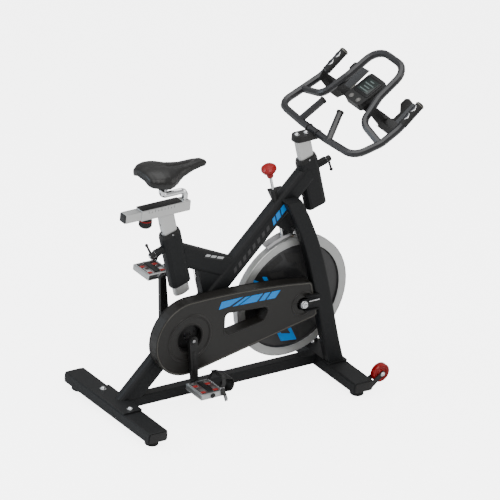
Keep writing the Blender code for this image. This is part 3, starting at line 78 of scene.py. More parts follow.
@dataclass(frozen=True)
class Finish:
    """One surface finish: colour, gloss and relief, with faint wear.

    Attributes:
        name: material's name.
        colour: linear base colour.
        roughness: mean roughness.
        metallic: 0 or 1.
        grain: kind of relief.
        scale: relief cells per metre.
        relief: bump distance in metres.
        mottle: share by which the colour and the gloss wander.
        coat: clear coat's weight.
        sheen: fabric sheen's weight.
        dust: how much settled dust shows on faces that look up.
        shine: specular level; 0.5 is plain plastic.
    """

    name: str
    colour: tuple[float, float, float]
    roughness: float
    metallic: float = 0.0
    grain: Grain = Grain.SMOOTH
    scale: float = 900.0
    relief: float = 0.0001
    mottle: float = 0.12
    coat: float = 0.0
    sheen: float = 0.0
    dust: float = 0.0
    shine: float = 0.5

    def material(self) -> bpy.types.Material:
        """Return the material, made on first use."""
        found = bpy.data.materials.get(self.name)
        return found or self._make()

    def _make(self) -> bpy.types.Material:
        """Build the node tree.

        Returns:
            The material.
        """
        material = bpy.data.materials.new(self.name)
        material.use_nodes = True
        tree = material.node_tree
        shader = tree.nodes["Principled BSDF"]
        shader.inputs["Metallic"].default_value = self.metallic
        shader.inputs["Coat Weight"].default_value = self.coat
        shader.inputs["Specular IOR Level"].default_value = self.shine
        shader.inputs["Coat Roughness"].default_value = 0.12
        shader.inputs["Sheen Weight"].default_value = self.sheen
        place = tree.nodes.new("ShaderNodeTexCoord").outputs["Object"]
        cloud = self._noise(tree, place, 9.0, 4.0)
        fine = self._noise(tree, place, 140.0, 3.0)
        tint = tree.nodes.new("ShaderNodeMix")
        tint.data_type = "RGBA"
        tint.inputs[6].default_value = (*[c * (1 - self.mottle) for c in self.colour], 1.0)
        tint.inputs[7].default_value = (*[min(1.0, c * (1 + self.mottle)) for c in self.colour], 1.0)
        tree.links.new(cloud.outputs["Fac"], tint.inputs[0])
        colour = tint.outputs[2]
        if self.dust:
            colour = self._dusted(tree, place, colour)
        tree.links.new(colour, shader.inputs["Base Color"])
        gloss = tree.nodes.new("ShaderNodeMapRange")
        gloss.inputs["To Min"].default_value = self.roughness * (1 - self.mottle)
        gloss.inputs["To Max"].default_value = min(1.0, self.roughness * (1 + 1.6 * self.mottle))
        tree.links.new(fine.outputs["Fac"], gloss.inputs["Value"])
        tree.links.new(gloss.outputs["Result"], shader.inputs["Roughness"])
        bump = tree.nodes.new("ShaderNodeBump")
        bump.inputs["Strength"].default_value = 0.6
        bump.inputs["Distance"].default_value = self.relief
        tree.links.new(self._relief(tree, place), bump.inputs["Height"])
        tree.links.new(bump.outputs["Normal"], shader.inputs["Normal"])
        return material

    def _dusted(self, tree: bpy.types.NodeTree, place: bpy.types.NodeSocket,
                colour: bpy.types.NodeSocket) -> bpy.types.NodeSocket:
        """Add faint settled dust on faces that look up.

        Args:
            tree: node tree to add to.
            place: coordinates.
            colour: clean colour.

        Returns:
            The dusted colour.
        """
        normal = tree.nodes.new("ShaderNodeSeparateXYZ")
        tree.links.new(tree.nodes.new("ShaderNodeNewGeometry").outputs["Normal"], normal.inputs[0])
        speck = self._noise(tree, place, 60.0, 8.0)
        amount = tree.nodes.new("ShaderNodeMath")
        amount.operation = "MULTIPLY"
        amount.use_clamp = True
        tree.links.new(normal.outputs["Z"], amount.inputs[0])
        tree.links.new(speck.outputs["Fac"], amount.inputs[1])
        share = tree.nodes.new("ShaderNodeMath")
        share.operation = "MULTIPLY"
        share.use_clamp = True
        share.inputs[1].default_value = self.dust
        tree.links.new(amount.outputs[0], share.inputs[0])
        mix = tree.nodes.new("ShaderNodeMix")
        mix.data_type = "RGBA"
        mix.inputs[7].default_value = (0.22, 0.21, 0.20, 1.0)
        tree.links.new(share.outputs[0], mix.inputs[0])
        tree.links.new(colour, mix.inputs[6])
        return mix.outputs[2]

    @staticmethod
    def _noise(tree: bpy.types.NodeTree, place: bpy.types.NodeSocket, scale: float,
               detail: float) -> bpy.types.Node:
        """Add a noise node.

        Args:
            tree: node tree to add to.
            place: coordinates.
            scale: scale of the noise.
            detail: detail of the noise.

        Returns:
            The node.
        """
        node = tree.nodes.new("ShaderNodeTexNoise")
        node.inputs["Scale"].default_value = scale
        node.inputs["Detail"].default_value = detail
        tree.links.new(place, node.inputs["Vector"])
        return node

    def _relief(self, tree: bpy.types.NodeTree, place: bpy.types.NodeSocket) -> bpy.types.NodeSocket:
        """Return the height that the grain gives.

        Args:
            tree: node tree to add to.
            place: coordinates.

        Returns:
            A height socket.
        """
        if self.grain is Grain.LEATHER:
            cells = tree.nodes.new("ShaderNodeTexVoronoi")
            cells.feature = "DISTANCE_TO_EDGE"
            cells.inputs["Scale"].default_value = self.scale
            tree.links.new(place, cells.inputs["Vector"])
            return cells.outputs["Distance"]
        if self.grain is Grain.BRUSHED:
            stretch = tree.nodes.new("ShaderNodeMapping")
            stretch.inputs["Scale"].default_value = (1.0, 0.06, 1.0)
            tree.links.new(place, stretch.inputs["Vector"])
            return self._noise(tree, stretch.outputs["Vector"], self.scale, 2.0).outputs["Fac"]
        detail = {Grain.POWDER: 2.0, Grain.MOULD: 5.0, Grain.SMOOTH: 1.0, Grain.CAST: 8.0}[self.grain]
        return self._noise(tree, place, self.scale, detail).outputs["Fac"]


POWDER_COAT = Finish("powder_coat", (0.0066, 0.0072, 0.0080), 0.50, 0.0, Grain.POWDER, 1100, 0.00012,
                     0.10, dust=0.04, shine=0.20)
BAR_COAT = Finish("bar_coat", (0.0125, 0.0128, 0.0146), 0.34, 0.0, Grain.POWDER, 1300, 0.00006, 0.08, shine=0.55)
ARM_COAT = Finish("arm_coat", (0.008, 0.008, 0.008), 0.42, 0.0, Grain.POWDER, 1400, 0.00006, 0.10, shine=0.30)
GUARD_PLASTIC = Finish("guard_plastic", (0.0096, 0.0090, 0.0080), 0.40, 0.0, Grain.MOULD, 1600, 0.00005,
                       0.08, dust=0.02, shine=0.32)
MOULDING = Finish("moulding", (0.009, 0.009, 0.009), 0.46, 0.0, Grain.MOULD, 1500, 0.00008, 0.12, shine=0.30)
GLOSS_BLACK = Finish("gloss_black", (0.004, 0.004, 0.0045), 0.30, 0.0, Grain.SMOOTH, 300, 0.00003, 0.1, shine=0.3)
GROUND_TUBE = Finish("ground_tube", (0.50, 0.505, 0.50), 0.34, 0.55, Grain.BRUSHED, 900, 0.00002, 0.05, 0.1)
BRIGHT_CHROME = Finish("bright_chrome", (0.72, 0.73, 0.74), 0.10, 1.0, Grain.SMOOTH, 90, 0.00002, 0.04)
PLAIN_STEEL = Finish("plain_steel", (0.42, 0.42, 0.43), 0.30, 1.0, Grain.BRUSHED, 1200, 0.00004, 0.14)
RIM_METAL = Finish("rim_metal", (0.40, 0.405, 0.40), 0.30, 0.55, Grain.BRUSHED, 500, 0.00002, 0.05, 0.1)
DISC_PAINT = Finish("disc_paint", (0.0060, 0.0060, 0.0060), 0.40, 0.0, Grain.POWDER, 1200, 0.00006, 0.12,
                    shine=0.22)
DISC_GREY = Finish("disc_grey", (0.024, 0.024, 0.024), 0.46, 0.0, Grain.POWDER, 1200, 0.00003, 0.12, shine=0.25)
BLUE_INK = Finish("blue_ink", (0.001, 0.205, 0.620), 0.36, 0.0, Grain.SMOOTH, 200, 0.00002, 0.12, shine=0.25)
GREY_INK = Finish("grey_ink", (0.034, 0.034, 0.035), 0.42, 0.0, Grain.SMOOTH, 200, 0.00002, 0.12, shine=0.25)
PALE_INK = Finish("pale_ink", (0.42, 0.43, 0.44), 0.36, 0.0, Grain.SMOOTH, 200, 0.00002, 0.08, shine=0.3)
RED_GLOSS = Finish("red_gloss", (0.24, 0.0002, 0.0004), 0.30, 0.0, Grain.SMOOTH, 120, 0.00004, 0.06, shine=0.35)
RED_SATIN = Finish("red_satin", (0.30, 0.0004, 0.0008), 0.42, 0.0, Grain.MOULD, 900, 0.00006, 0.12, shine=0.3)
PALE_RED = Finish("pale_red", (0.30, 0.022, 0.020), 0.55, 0.0, Grain.MOULD, 900, 0.00008, 0.2, shine=0.3)
BLACK_RUBBER = Finish("black_rubber", (0.009, 0.009, 0.009), 0.66, 0.0, Grain.MOULD, 800, 0.00015, 0.15,
                      shine=0.35)
SADDLE_SKIN = Finish("saddle_skin", (0.0040, 0.0038, 0.0035), 0.40, 0.0, Grain.LEATHER, 1500, 0.00003,
                     0.03, shine=0.42)
THREAD = Finish("thread", (0.020, 0.020, 0.020), 0.7, 0.0, Grain.CAST, 2500, 0.0001, 0.1, shine=0.3)
CAGE_ALLOY = Finish("cage_alloy", (0.46, 0.47, 0.47), 0.34, 1.0, Grain.CAST, 700, 0.00012, 0.14)
BRAKE_FELT = Finish("brake_felt", (0.105, 0.072, 0.034), 0.85, 0.0, Grain.CAST, 900, 0.0004, 0.2, shine=0.2)
WEBBING = Finish("webbing", (0.022, 0.022, 0.0225), 0.62, 0.0, Grain.CAST, 1500, 0.0002, 0.16, shine=0.3)
SCREEN = Finish("screen", (0.010, 0.015, 0.014), 0.22, 0.0, Grain.SMOOTH, 60, 0.00002, 0.10, shine=0.4)
BUTTON_GREY = Finish("button_grey", (0.120, 0.116, 0.110), 0.5, 0.0, Grain.MOULD, 900, 0.00005, 0.1)
# dark plastic; also the painted shade of the posts' pin holes and of the tensioner's slot
DARK_PLASTIC_AND_PAINTED_SHADE = Finish("dark_plastic_and_painted_shade", (0.004, 0.004, 0.004), 0.5, 0.0, Grain.MOULD, 900, 0.00005, 0.1, shine=0.3)
# painted reflection: the pulse plates' chrome is darkened so it shows the dark reflection seen on them
CHROME_PAINTED_DARK_REFLECTION = Finish("chrome_painted_dark_reflection", (0.060, 0.063, 0.070), 0.24, 1.0, Grain.SMOOTH, 90, 0.00002, 0.08)
HOLDER_GREY = Finish("holder_grey", (0.030, 0.032, 0.035), 0.42, 0.0, Grain.POWDER, 1200, 0.00006, 0.10, shine=0.5)
PALE_EDGE = Finish("pale_edge", (0.17, 0.165, 0.14), 0.42, 0.2, Grain.POWDER, 1200, 0.00004, 0.10)
SCREEN_BARS = Finish("screen_bars", (0.085, 0.110, 0.104), 0.25, 0.0, Grain.SMOOTH, 100, 0.00001)
# painted highlight: the lip is much lighter than the guard's plastic to paint the highlight along the guard's rim
GUARD_LIP_HIGHLIGHT = Finish("guard_lip_painted_highlight", (0.046, 0.043, 0.036), 0.36, 0.0, Grain.MOULD, 1600, 0.00004)


# ------------------------------------------------------------------ mesh work
def arc(centre: tuple[float, float], radius: float, start: float, end: float, steps: int) -> Outline:
    """Return points of a flat arc.

    Args:
        centre: arc's centre.
        radius: its radius.
        start: first angle in radians.
        end: last angle in radians.
        steps: number of chords.

    Returns:
        steps + 1 points.
    """
    return [(centre[0] + radius * math.cos(start + (end - start) * i / steps),
             centre[1] + radius * math.sin(start + (end - start) * i / steps))
            for i in range(steps + 1)]


def rounded(width: float, height: float, radius: float, steps: int = 6) -> Outline:
    """Return a rectangle with round corners, centred on zero.

    Args:
        width: its width.
        height: its height.
        radius: radius of the corners.
        steps: parts of a corner.

    Returns:
        The outline.
    """
    points: Outline = []
    for k, (sx, sy) in enumerate(((1, 1), (-1, 1), (-1, -1), (1, -1))):
        middle = (sx * (width / 2 - radius), sy * (height / 2 - radius))
        points += arc(middle, radius, k * math.pi / 2, (k + 1) * math.pi / 2, steps)
    return points


def circle(radius: float, steps: int = 48) -> Outline:
    """Return a flat circle, centred on zero."""
    return arc((0.0, 0.0), radius, 0.0, 2 * math.pi * (1 - 1 / steps), steps - 1)


def face_of(bm: BMesh, ring: Iterable[Vector]) -> bmesh.types.BMFace:
    """Return a new face through a ring of places."""
    return bm.faces.new([bm.verts.new(place) for place in ring])


def swept(rings: Sequence[Sequence[Vector]]) -> BMesh:
    """Extrude a face through rings of places that have the same count.

    Args:
        rings: rings in order; the first and the last become the ends.

    Returns:
        A closed bmesh.
    """
    bm = bmesh.new()
    first = face_of(bm, rings[0])
    loop = list(first.verts)
    for ring in rings[1:]:
        fresh = [bm.verts.new(place) for place in ring]
        for i in range(len(loop)):
            bm.faces.new((loop[i - 1], loop[i], fresh[i], fresh[i - 1]))
        loop = fresh
    bm.faces.new(loop)
    bmesh.ops.recalc_face_normals(bm, faces=bm.faces)
    return bm


def plate(outline: Outline, origin: Vector, first: Vector, second: Vector, thickness: float,
          edge: float = 0.0, segments: int = 3) -> BMesh:
    """Extrude a flat outline and round its two rims.

    Args:
        outline: points along the two directions.
        origin: place of the outline's zero.
        first: direction of the outline's first number.
        second: direction of its second number.
        thickness: signed depth along first x second.
        edge: radius of the rims.
        segments: steps of that radius.

    Returns:
        A closed bmesh.
    """
    bm = bmesh.new()
    face = face_of(bm, [origin + first * u + second * v for u, v in outline])
    normal = first.cross(second).normalized()
    grown = bmesh.ops.extrude_face_region(bm, geom=[face])
    moved = [v for v in grown["geom"] if isinstance(v, bmesh.types.BMVert)]
    bmesh.ops.translate(bm, verts=moved, vec=normal * thickness)
    bmesh.ops.recalc_face_normals(bm, faces=bm.faces)
    if edge:
        rims = [e for e in bm.edges
                if all(len(f.verts) == 4 for f in e.link_faces) is False]
        bmesh.ops.bevel(bm, geom=rims, offset=edge, offset_type="OFFSET", segments=segments,
                        profile=0.5, affect="EDGES", material=-1, clamp_overlap=True)
    return bm


def lathe(profile: Sequence[tuple[float, float]], start: Vector, along: Vector,
          steps: int = 64) -> BMesh:
    """Spin a closed profile of (radius, distance) pairs about an axis.

    Args:
        profile: closed outline; points on the axis have radius 0.
        start: place where distance is 0.
        along: axis direction.
        steps: number of turns' steps.

    Returns:
        A closed bmesh.
    """
    axis = along.normalized()
    across = axis.orthogonal().normalized()
    bm = bmesh.new()
    points = [bm.verts.new(start + axis * d + across * r) for r, d in profile]
    for i, point in enumerate(points):
        j = (i + 1) % len(points)
        if profile[i][0] > 1e-7 or profile[j][0] > 1e-7:
            bm.edges.new((point, points[j]))
    bmesh.ops.spin(bm, geom=list(bm.verts) + list(bm.edges), cent=start, axis=axis,
                   angle=2 * math.pi, steps=steps, use_merge=True)
    bmesh.ops.remove_doubles(bm, verts=bm.verts, dist=1e-6)
    bmesh.ops.dissolve_degenerate(bm, dist=1e-7, edges=bm.edges)
    bmesh.ops.recalc_face_normals(bm, faces=bm.faces)
    return bm


def block(low: Vector, high: Vector, edge: float, segments: int = 4) -> BMesh:
    """Return a block between two corners, with round edges.

    Args:
        low: the lower corner.
        high: the upper corner.
        edge: radius of the edges.
        segments: parts of an edge's bevel.

    Returns:
        A closed bmesh.
    """
    bm = bmesh.new()
    bmesh.ops.create_cube(bm, size=1.0)
    bmesh.ops.scale(bm, verts=bm.verts, vec=high - low)
    bmesh.ops.translate(bm, verts=bm.verts, vec=(high + low) / 2)
    bmesh.ops.bevel(bm, geom=list(bm.edges), offset=edge, offset_type="OFFSET", segments=segments,
                    profile=0.5, affect="EDGES", material=-1, clamp_overlap=True)
    return bm


def joined(*parts: BMesh) -> BMesh:
    """Put several closed shapes in one bmesh.

    Args:
        *parts: the shapes; freed here.

    Returns:
        The bmesh that holds them.
    """
    whole = bmesh.new()
    for part in parts:
        mesh = bpy.data.meshes.new("part")
        part.to_mesh(mesh)
        part.free()
        whole.from_mesh(mesh)
        bpy.data.meshes.remove(mesh)
    return whole


def softened(points: Sequence[Vector], radii: Sequence[float], steps: int = 12) -> list[Vector]:
    """Round the inner corners of a polyline.

    Args:
        points: the corners, ends included.
        radii: radius at each inner corner.
        steps: chords per corner.

    Returns:
        Places along the rounded path.
    """
    path = [points[0]]
    for before, corner, after, radius in zip(points, points[1:], points[2:], radii):
        back, ahead = (before - corner).normalized(), (after - corner).normalized()
        half = back.angle(ahead) / 2
        middle = corner + (back + ahead).normalized() * radius / math.sin(half)
        reach = radius / math.tan(half)
        start, end = corner + back * reach - middle, corner + ahead * reach - middle
        sweep = start.angle(end)
        for i in range(steps + 1):
            t = i / steps
            path.append(middle + (start * math.sin((1 - t) * sweep)
                                  + end * math.sin(t * sweep)) / math.sin(sweep))
    return path + [points[-1]]


def tube(path: Sequence[Vector], radius: float | Sequence[float], sides: int = 24,
         flat: float = 1.0, wide: Vector | None = None) -> BMesh:
    """Sweep a circle or an ellipse along a path, without twist.

    Args:
        path: places along the middle.
        radius: one radius, or one for each place.
        sides: points round the section.
        flat: second radius over the first.
        wide: direction of the first radius; by default any.

    Returns:
        A closed bmesh.
    """
    radii = list(radius) if isinstance(radius, (list, tuple)) else [radius] * len(path)
    rings = []
    across = wide or (path[1] - path[0]).orthogonal()
    for i, place in enumerate(path):
        along = (path[min(i + 1, len(path) - 1)] - path[max(i - 1, 0)]).normalized()
        across = (across - along * across.dot(along)).normalized()
        other = along.cross(across)
        rings.append([place + across * (radii[i] * math.cos(a)) + other * (radii[i] * flat * math.sin(a))
                      for a in (2 * math.pi * k / sides for k in range(sides))])
    return swept(rings)


# ------------------------------------------------------------------ pieces
@dataclass
class Workshop:
    """Makes pieces and hands each to the frame body that carries it.

    Attributes:
        made: names of the pieces made so far.
    """

    made: list[str] = field(default_factory=list)

    def add(self, name: str, bm: BMesh, finish: Finish, body: str, slot: str,
            bevel: float = 0.0, subdivide: int = 0, sharp: float = 38.0,
            replaces: Sequence[str] = ()) -> bpy.types.Object:
        """Turn a bmesh into a piece.

        Args:
            name: piece's name.
            bm: its shape, in place; freed here.
            finish: its material.
            body: frame body that it rides on.
            slot: record slot that it takes its finish from; not used.
            bevel: radius of a bevel on its sharp edges.
            subdivide: level of a subdivision surface.
            sharp: edges over this angle in degrees stay sharp in shading.
            replaces: CAD nodes that it stands for.

        Returns:
            The piece.
        """
        bmesh.ops.recalc_face_normals(bm, faces=bm.faces)
        mesh = bpy.data.meshes.new(name)
        bm.to_mesh(mesh)
        bm.free()
        mesh.materials.append(finish.material())
        mesh.shade_smooth()
        if not subdivide:
            mesh.set_sharp_from_angle(angle=math.radians(sharp))
        piece = bpy.data.objects.new(name, mesh)
        bpy.context.scene.collection.objects.link(piece)
        if bevel:
            soften_edges(piece, bevel)
        if subdivide:
            surface = piece.modifiers.new("surface", "SUBSURF")
            surface.levels = surface.render_levels = subdivide
        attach(piece, body)
        if replaces:
            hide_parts(*replaces)
        self.made.append(name)
        LOG.info("%s rides on %s", name, body)
        return piece


def soften_edges(piece: bpy.types.Object, width: float, segments: int = 2) -> None:
    """Round a piece's sharp edges, without a change to its mesh.

    Args:
        piece: object to soften.
        width: bevel's width in metres.
        segments: steps of the bevel.
    """
    bevel = piece.modifiers.new("edges", "BEVEL")
    bevel.width = width
    bevel.segments = segments
    bevel.profile = 0.5
    bevel.affect = "EDGES"
    bevel.material = -1
    bevel.limit_method = "ANGLE"
    bevel.angle_limit = math.radians(40)
    bevel.use_clamp_overlap = True
    bevel.harden_normals = True


def middle(node: str) -> Vector:
    """Return the centre of a node's box."""
    low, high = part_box(node)
    return (low + high) / 2


LEAN = math.radians(17.5)
UP = Vector((-math.sin(LEAN), 0.0, math.cos(LEAN)))        # along both posts
AHEAD = Vector((math.cos(LEAN), 0.0, math.sin(LEAN)))      # across them, forwards
SEAT_COLLAR = Vector((-0.3525, 0.0, 0.679))                  # top of the seat collar
BAR_COLLAR = Vector((0.2095, 0.0, 0.849))                    # top of the head collar
CRANK = middle("crank_spindle")
CRANK.y = 0.0
AXLE = middle("flywheel")


# ------------------------------------------------------------------ camera and light
@dataclass(frozen=True)
class Studio:
    """Camera, floor and soft lights.

    Attributes:
        right: camera's right.
        up: camera's up.
        back: direction from the object to the camera.
        aim: place in the middle of the picture.
        distance: camera's distance.
        width: width that the picture spans at the aim.
    """

    right: Vector = Vector((0.8159, -0.5712, 0.0900))
    up: Vector = Vector((0.1953, 0.4187, 0.8869))
    back: Vector = Vector((-0.5443, -0.7061, 0.4531))
    aim: Vector = Vector((0.1133, 0.1439, 0.4496))
    distance: float = 64.0
    width: float = 1.745

    def build(self) -> None:
        """Make the camera, the floor, the world and the lights."""
        data = bpy.data.cameras.new("camera")
        data.sensor_width = 36.0
        data.lens = data.sensor_width * self.distance / self.width
        data.clip_start, data.clip_end = 0.1, 200.0
        camera = bpy.data.objects.new("camera", data)
        turn = Matrix((self.right, self.up, self.back)).transposed().to_4x4()
        camera.matrix_world = Matrix.Translation(self.aim + self.back * self.distance) @ turn
        bpy.context.scene.collection.objects.link(camera)
        bpy.context.scene.camera = camera
        self._floor()
        self._world()
        self._light("key", Vector((-1.2, -2.2, 3.0)), 2.4, 74.0, (1.0, 0.985, 0.96))
        self._light("overhead", Vector((0.1, 0.3, 3.4)), 2.6, 56.0, (1.0, 1.0, 1.0))
        self._light("rear_cool", Vector((-3.0, 1.0, 1.7)), 1.9, 60.0, (0.80, 0.90, 1.0))
        self._light("front_fill", Vector((2.6, -1.6, 1.3)), 1.8, 20.0, (1.0, 0.99, 0.97))

    @staticmethod
    def _light(name: str, place: Vector, size: float, power: float,
               colour: tuple[float, float, float]) -> None:
        """Add a square area light that looks at the machine's middle.

        Args:
            name: light's name.
            place: where it hangs.
            size: its side's length.
            power: its power in watts.
            colour: its colour.
        """
        data = bpy.data.lights.new(name, "AREA")
        data.shape = "SQUARE"
        data.size, data.energy, data.color = size, power, colour
        lamp = bpy.data.objects.new(name, data)
        lamp.location = place
        lamp.rotation_euler = (place - Vector((0, 0, 0.5))).to_track_quat("Z", "Y").to_euler()
        bpy.context.scene.collection.objects.link(lamp)

    @staticmethod
    def _floor() -> None:
        """Add a wide plain floor."""
        bm = bmesh.new()
        bmesh.ops.create_grid(bm, x_segments=8, y_segments=8, size=14.0)
        mesh = bpy.data.meshes.new("floor")
        bm.to_mesh(mesh)
        bm.free()
        floor = bpy.data.objects.new("floor", mesh)
        bpy.context.scene.collection.objects.link(floor)
        paper = bpy.data.materials.new("floor_paper")
        paper.use_nodes = True
        tree = paper.node_tree
        shader = tree.nodes["Principled BSDF"]
        shader.inputs["Roughness"].default_value = 0.9
        shader.inputs["Specular IOR Level"].default_value = 0.1
        fibre = tree.nodes.new("ShaderNodeTexNoise")
        fibre.inputs["Scale"].default_value = 400.0
        place = tree.nodes.new("ShaderNodeTexCoord")
        tree.links.new(place.outputs["Object"], fibre.inputs["Vector"])
        ramp = tree.nodes.new("ShaderNodeMapRange")
        ramp.inputs["To Min"].default_value = 0.80
        ramp.inputs["To Max"].default_value = 0.84
        tree.links.new(fibre.outputs["Fac"], ramp.inputs["Value"])
        tree.links.new(ramp.outputs["Result"], shader.inputs["Base Color"])
        shader.inputs["Emission Color"].default_value = (1.0, 1.0, 1.0, 1.0)
        path = tree.nodes.new("ShaderNodeLightPath")
        glow = tree.nodes.new("ShaderNodeMath")
        glow.operation = "MULTIPLY"
        glow.inputs[1].default_value = 4.6
        tree.links.new(path.outputs["Is Camera Ray"], glow.inputs[0])
        tree.links.new(glow.outputs[0], shader.inputs["Emission Strength"])
        mesh.materials.append(paper)

    @staticmethod
    def _world() -> None:
        """Add an even pale surround, brighter overhead."""
        world = bpy.data.worlds.new("surround")
        world.use_nodes = True
        tree = world.node_tree
        surround = tree.nodes["Background"]
        surround.inputs["Strength"].default_value = 0.62
        place = tree.nodes.new("ShaderNodeTexCoord")
        split = tree.nodes.new("ShaderNodeSeparateXYZ")
        ramp = tree.nodes.new("ShaderNodeMapRange")
        ramp.inputs["From Min"].default_value = -0.4
        ramp.inputs["To Min"].default_value = 0.72
        tree.links.new(place.outputs["Generated"], split.inputs[0])
        tree.links.new(split.outputs["Z"], ramp.inputs["Value"])
        tree.links.new(ramp.outputs["Result"], surround.inputs["Color"])
        bpy.context.scene.world = world


# ------------------------------------------------------------------ the frame's own nodes
def flywheel_material() -> bpy.types.Material:
    """Return the flywheel's finish: bright ground rim, black painted disc.

    Returns:
        A material that changes with the distance from the axle.
    """
    material = RIM_METAL.material().copy()
    material.name = "flywheel_two_tone"
    tree = material.node_tree
    shader = tree.nodes["Principled BSDF"]
    place = tree.nodes.new("ShaderNodeTexCoord")
    centre = tree.nodes.new("ShaderNodeVectorMath")
    centre.operation = "SUBTRACT"
    centre.inputs[1].default_value = AXLE
    flat = tree.nodes.new("ShaderNodeVectorMath")
    flat.operation = "MULTIPLY"
    flat.inputs[1].default_value = (1.0, 0.0, 1.0)
    far = tree.nodes.new("ShaderNodeVectorMath")
    far.operation = "LENGTH"
    inside = tree.nodes.new("ShaderNodeMath")
    inside.operation = "LESS_THAN"
    inside.inputs[1].default_value = 0.1995
    tree.links.new(place.outputs["Object"], centre.inputs[0])
    tree.links.new(centre.outputs[0], flat.inputs[0])
    tree.links.new(flat.outputs[0], far.inputs[0])
    tree.links.new(far.outputs["Value"], inside.inputs[0])
    for socket, value in (("Base Color", (0.013, 0.013, 0.014, 1.0)), ("Metallic", None),
                          ("Roughness", None)):
        mix = tree.nodes.new("ShaderNodeMix")
        target = shader.inputs[socket]
        if value:
            mix.data_type = "RGBA"
            tree.links.new(target.links[0].from_socket, mix.inputs[6])
            mix.inputs[7].default_value = value
            out = mix.outputs[2]
        else:
            if target.links:
                tree.links.new(target.links[0].from_socket, mix.inputs[2])
            else:
                mix.inputs[2].default_value = target.default_value
            mix.inputs[3].default_value = 0.0 if socket == "Metallic" else 0.38
            out = mix.outputs[0]
        tree.links.new(inside.outputs[0], mix.inputs[0])
        tree.links.new(out, target)
    return material


NODE_FINISHES: dict[Finish, tuple[tuple[str, ...], float]] = {
    POWDER_COAT: (("rear_stabilizer", "front_stabilizer", "rear_mount_plate", "front_mount_plate",
                   "bottom_rail", "main_tube", "link_tube", "gusset_box", "seat_sleeve", "head_sleeve",
                   "fork_leg_right", "fork_leg_left", "bottom_bracket_shell", "brake_bracket",
                   "dropout_left", "dropout_right"), 0.0012),
    ARM_COAT: (("crank_arm_left", "crank_arm_right", "saddle_clamp", "stem_plate"), 0.0018),
    BAR_COAT: (("handlebar",), 0.0),
    GUARD_PLASTIC: (("chain_guard_outer", "chain_guard_inner"), 0.0011),
    MOULDING: (("seat_bushing", "head_bushing", "brake_rod_sleeve", "console", "console_bracket",
                "toe_clip_left", "toe_clip_right", "wheel_bracket_left", "wheel_bracket_right",
                "seat_lock_lever", "bar_lock_lever", "drive_pulley"), 0.0009),
    GROUND_TUBE: (("seat_post", "handlebar_post", "slider_sleeve", "seat_slider"), 0.0012),
    BRIGHT_CHROME: (("saddle_tube", "brake_rod"), 0.0006),
    PLAIN_STEEL: (("flywheel_axle", "flywheel_pulley", "crank_spindle", "brake_arm"), 0.0006),
    CAGE_ALLOY: (("pedal_left", "pedal_right"), 0.0012),
    BLACK_RUBBER: (("drive_belt", "slider_knob", "foot_rear_left", "foot_rear_right", "foot_front_left",
                    "foot_front_right"), 0.0008),
    RED_GLOSS: (("resistance_knob", "transport_wheel_left", "transport_wheel_right"), 0.0012),
    BUTTON_GREY: (("button_left", "button_right"), 0.0003),
    SADDLE_SKIN: (("saddle",), 0.0),
}


def finish_nodes() -> None:
    """Give every CAD node its finish and soft edges."""
    left = set(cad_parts)
    for finish, (names, radius) in NODE_FINISHES.items():
        for name in names:
            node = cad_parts[name]
            node.data.materials.clear()
            node.data.materials.append(finish.material())
            node.data.shade_smooth()
            node.data.set_sharp_from_angle(angle=math.radians(32))
            if radius:
                soften_edges(node, radius)
            left.discard(name)
    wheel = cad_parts["flywheel"]
    wheel.data.materials.clear()
    wheel.data.materials.append(flywheel_material())
    wheel.data.shade_smooth()
    wheel.data.set_sharp_from_angle(angle=math.radians(32))
    soften_edges(wheel, 0.0008)
    left.discard("flywheel")
    if left:
        raise ValueError(f"nodes without a finish: {sorted(left)}")


# ------------------------------------------------------------------ guard
def face_loops(node: str, level: float, tolerance: float = 0.0004) -> list[list[Vector]]:
    """Trace the outlines of a node's flat face at one sideways place.

    Args:
        node: CAD node.
        level: the face's Y.
        tolerance: how far a vertex may be off it.

    Returns:
        Loops of places, the widest first.
    """
    bm = bmesh.new()
    bm.from_mesh(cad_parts[node].data)
    bmesh.ops.remove_doubles(bm, verts=bm.verts, dist=1e-5)
    flat = {f for f in bm.faces if all(abs(v.co.y - level) < tolerance for v in f.verts)}
    rims = {e for f in flat for e in f.edges if sum(g in flat for g in e.link_faces) == 1}
    loops = []
    while rims:
        edge = rims.pop()
        ring, here = [edge.verts[0].co.copy()], edge.verts[1]
        while True:
            ring.append(here.co.copy())
            following = next((e for e in here.link_edges if e in rims), None)
            if following is None:
                break
            rims.discard(following)
            here = following.other_vert(here)
        if (ring[0] - ring[-1]).length < 1e-6:
            ring.pop()
        loops.append(ring)
    bm.free()
    return sorted(loops, key=lambda r: min(v.x for v in r) - max(v.x for v in r))


def inset_loop(ring: Sequence[Vector], distance: float) -> list[Vector]:
    """Offset a loop of one XZ plane to its inside.

    Args:
        ring: places in order.
        distance: how far inwards; negative grows it.

    Returns:
        As many places.
    """
    area = sum(a.x * b.z - b.x * a.z for a, b in zip(ring, list(ring[1:]) + [ring[0]]))
    turn = 1.0 if area > 0 else -1.0
    out = []
    for i, here in enumerate(ring):
        before, after = ring[i - 1], ring[(i + 1) % len(ring)]
        first = (here - before).normalized()
        second = (after - here).normalized()
        along = (first + second).normalized()
        inward = Vector((-along.z, 0.0, along.x)) * turn
        stretch = 1.0 / max(0.5, first.dot(along))
        out.append(here + inward * distance * stretch)
    return out


def ridge(ring: Sequence[Vector], depth: float, profile: Sequence[tuple[float, float]]) -> BMesh:
    """Run a closed profile round a loop.

    Args:
        ring: places in one XZ plane.
        depth: Y of the profile's zero.
        profile: closed (inset, outwards along -Y) pairs.

    Returns:
        A closed ring.
    """
    bm = bmesh.new()
    columns = []
    for inset, out in profile:
        columns.append([bm.verts.new((p.x, depth - out, p.z)) for p in inset_loop(ring, inset)])
    count = len(ring)
    for a in range(len(columns)):
        first, second = columns[a], columns[(a + 1) % len(columns)]
        for i in range(count):
            j = (i + 1) % count
            bm.faces.new((first[i], first[j], second[j], second[i]))
    bmesh.ops.recalc_face_normals(bm, faces=bm.faces)
    return bm


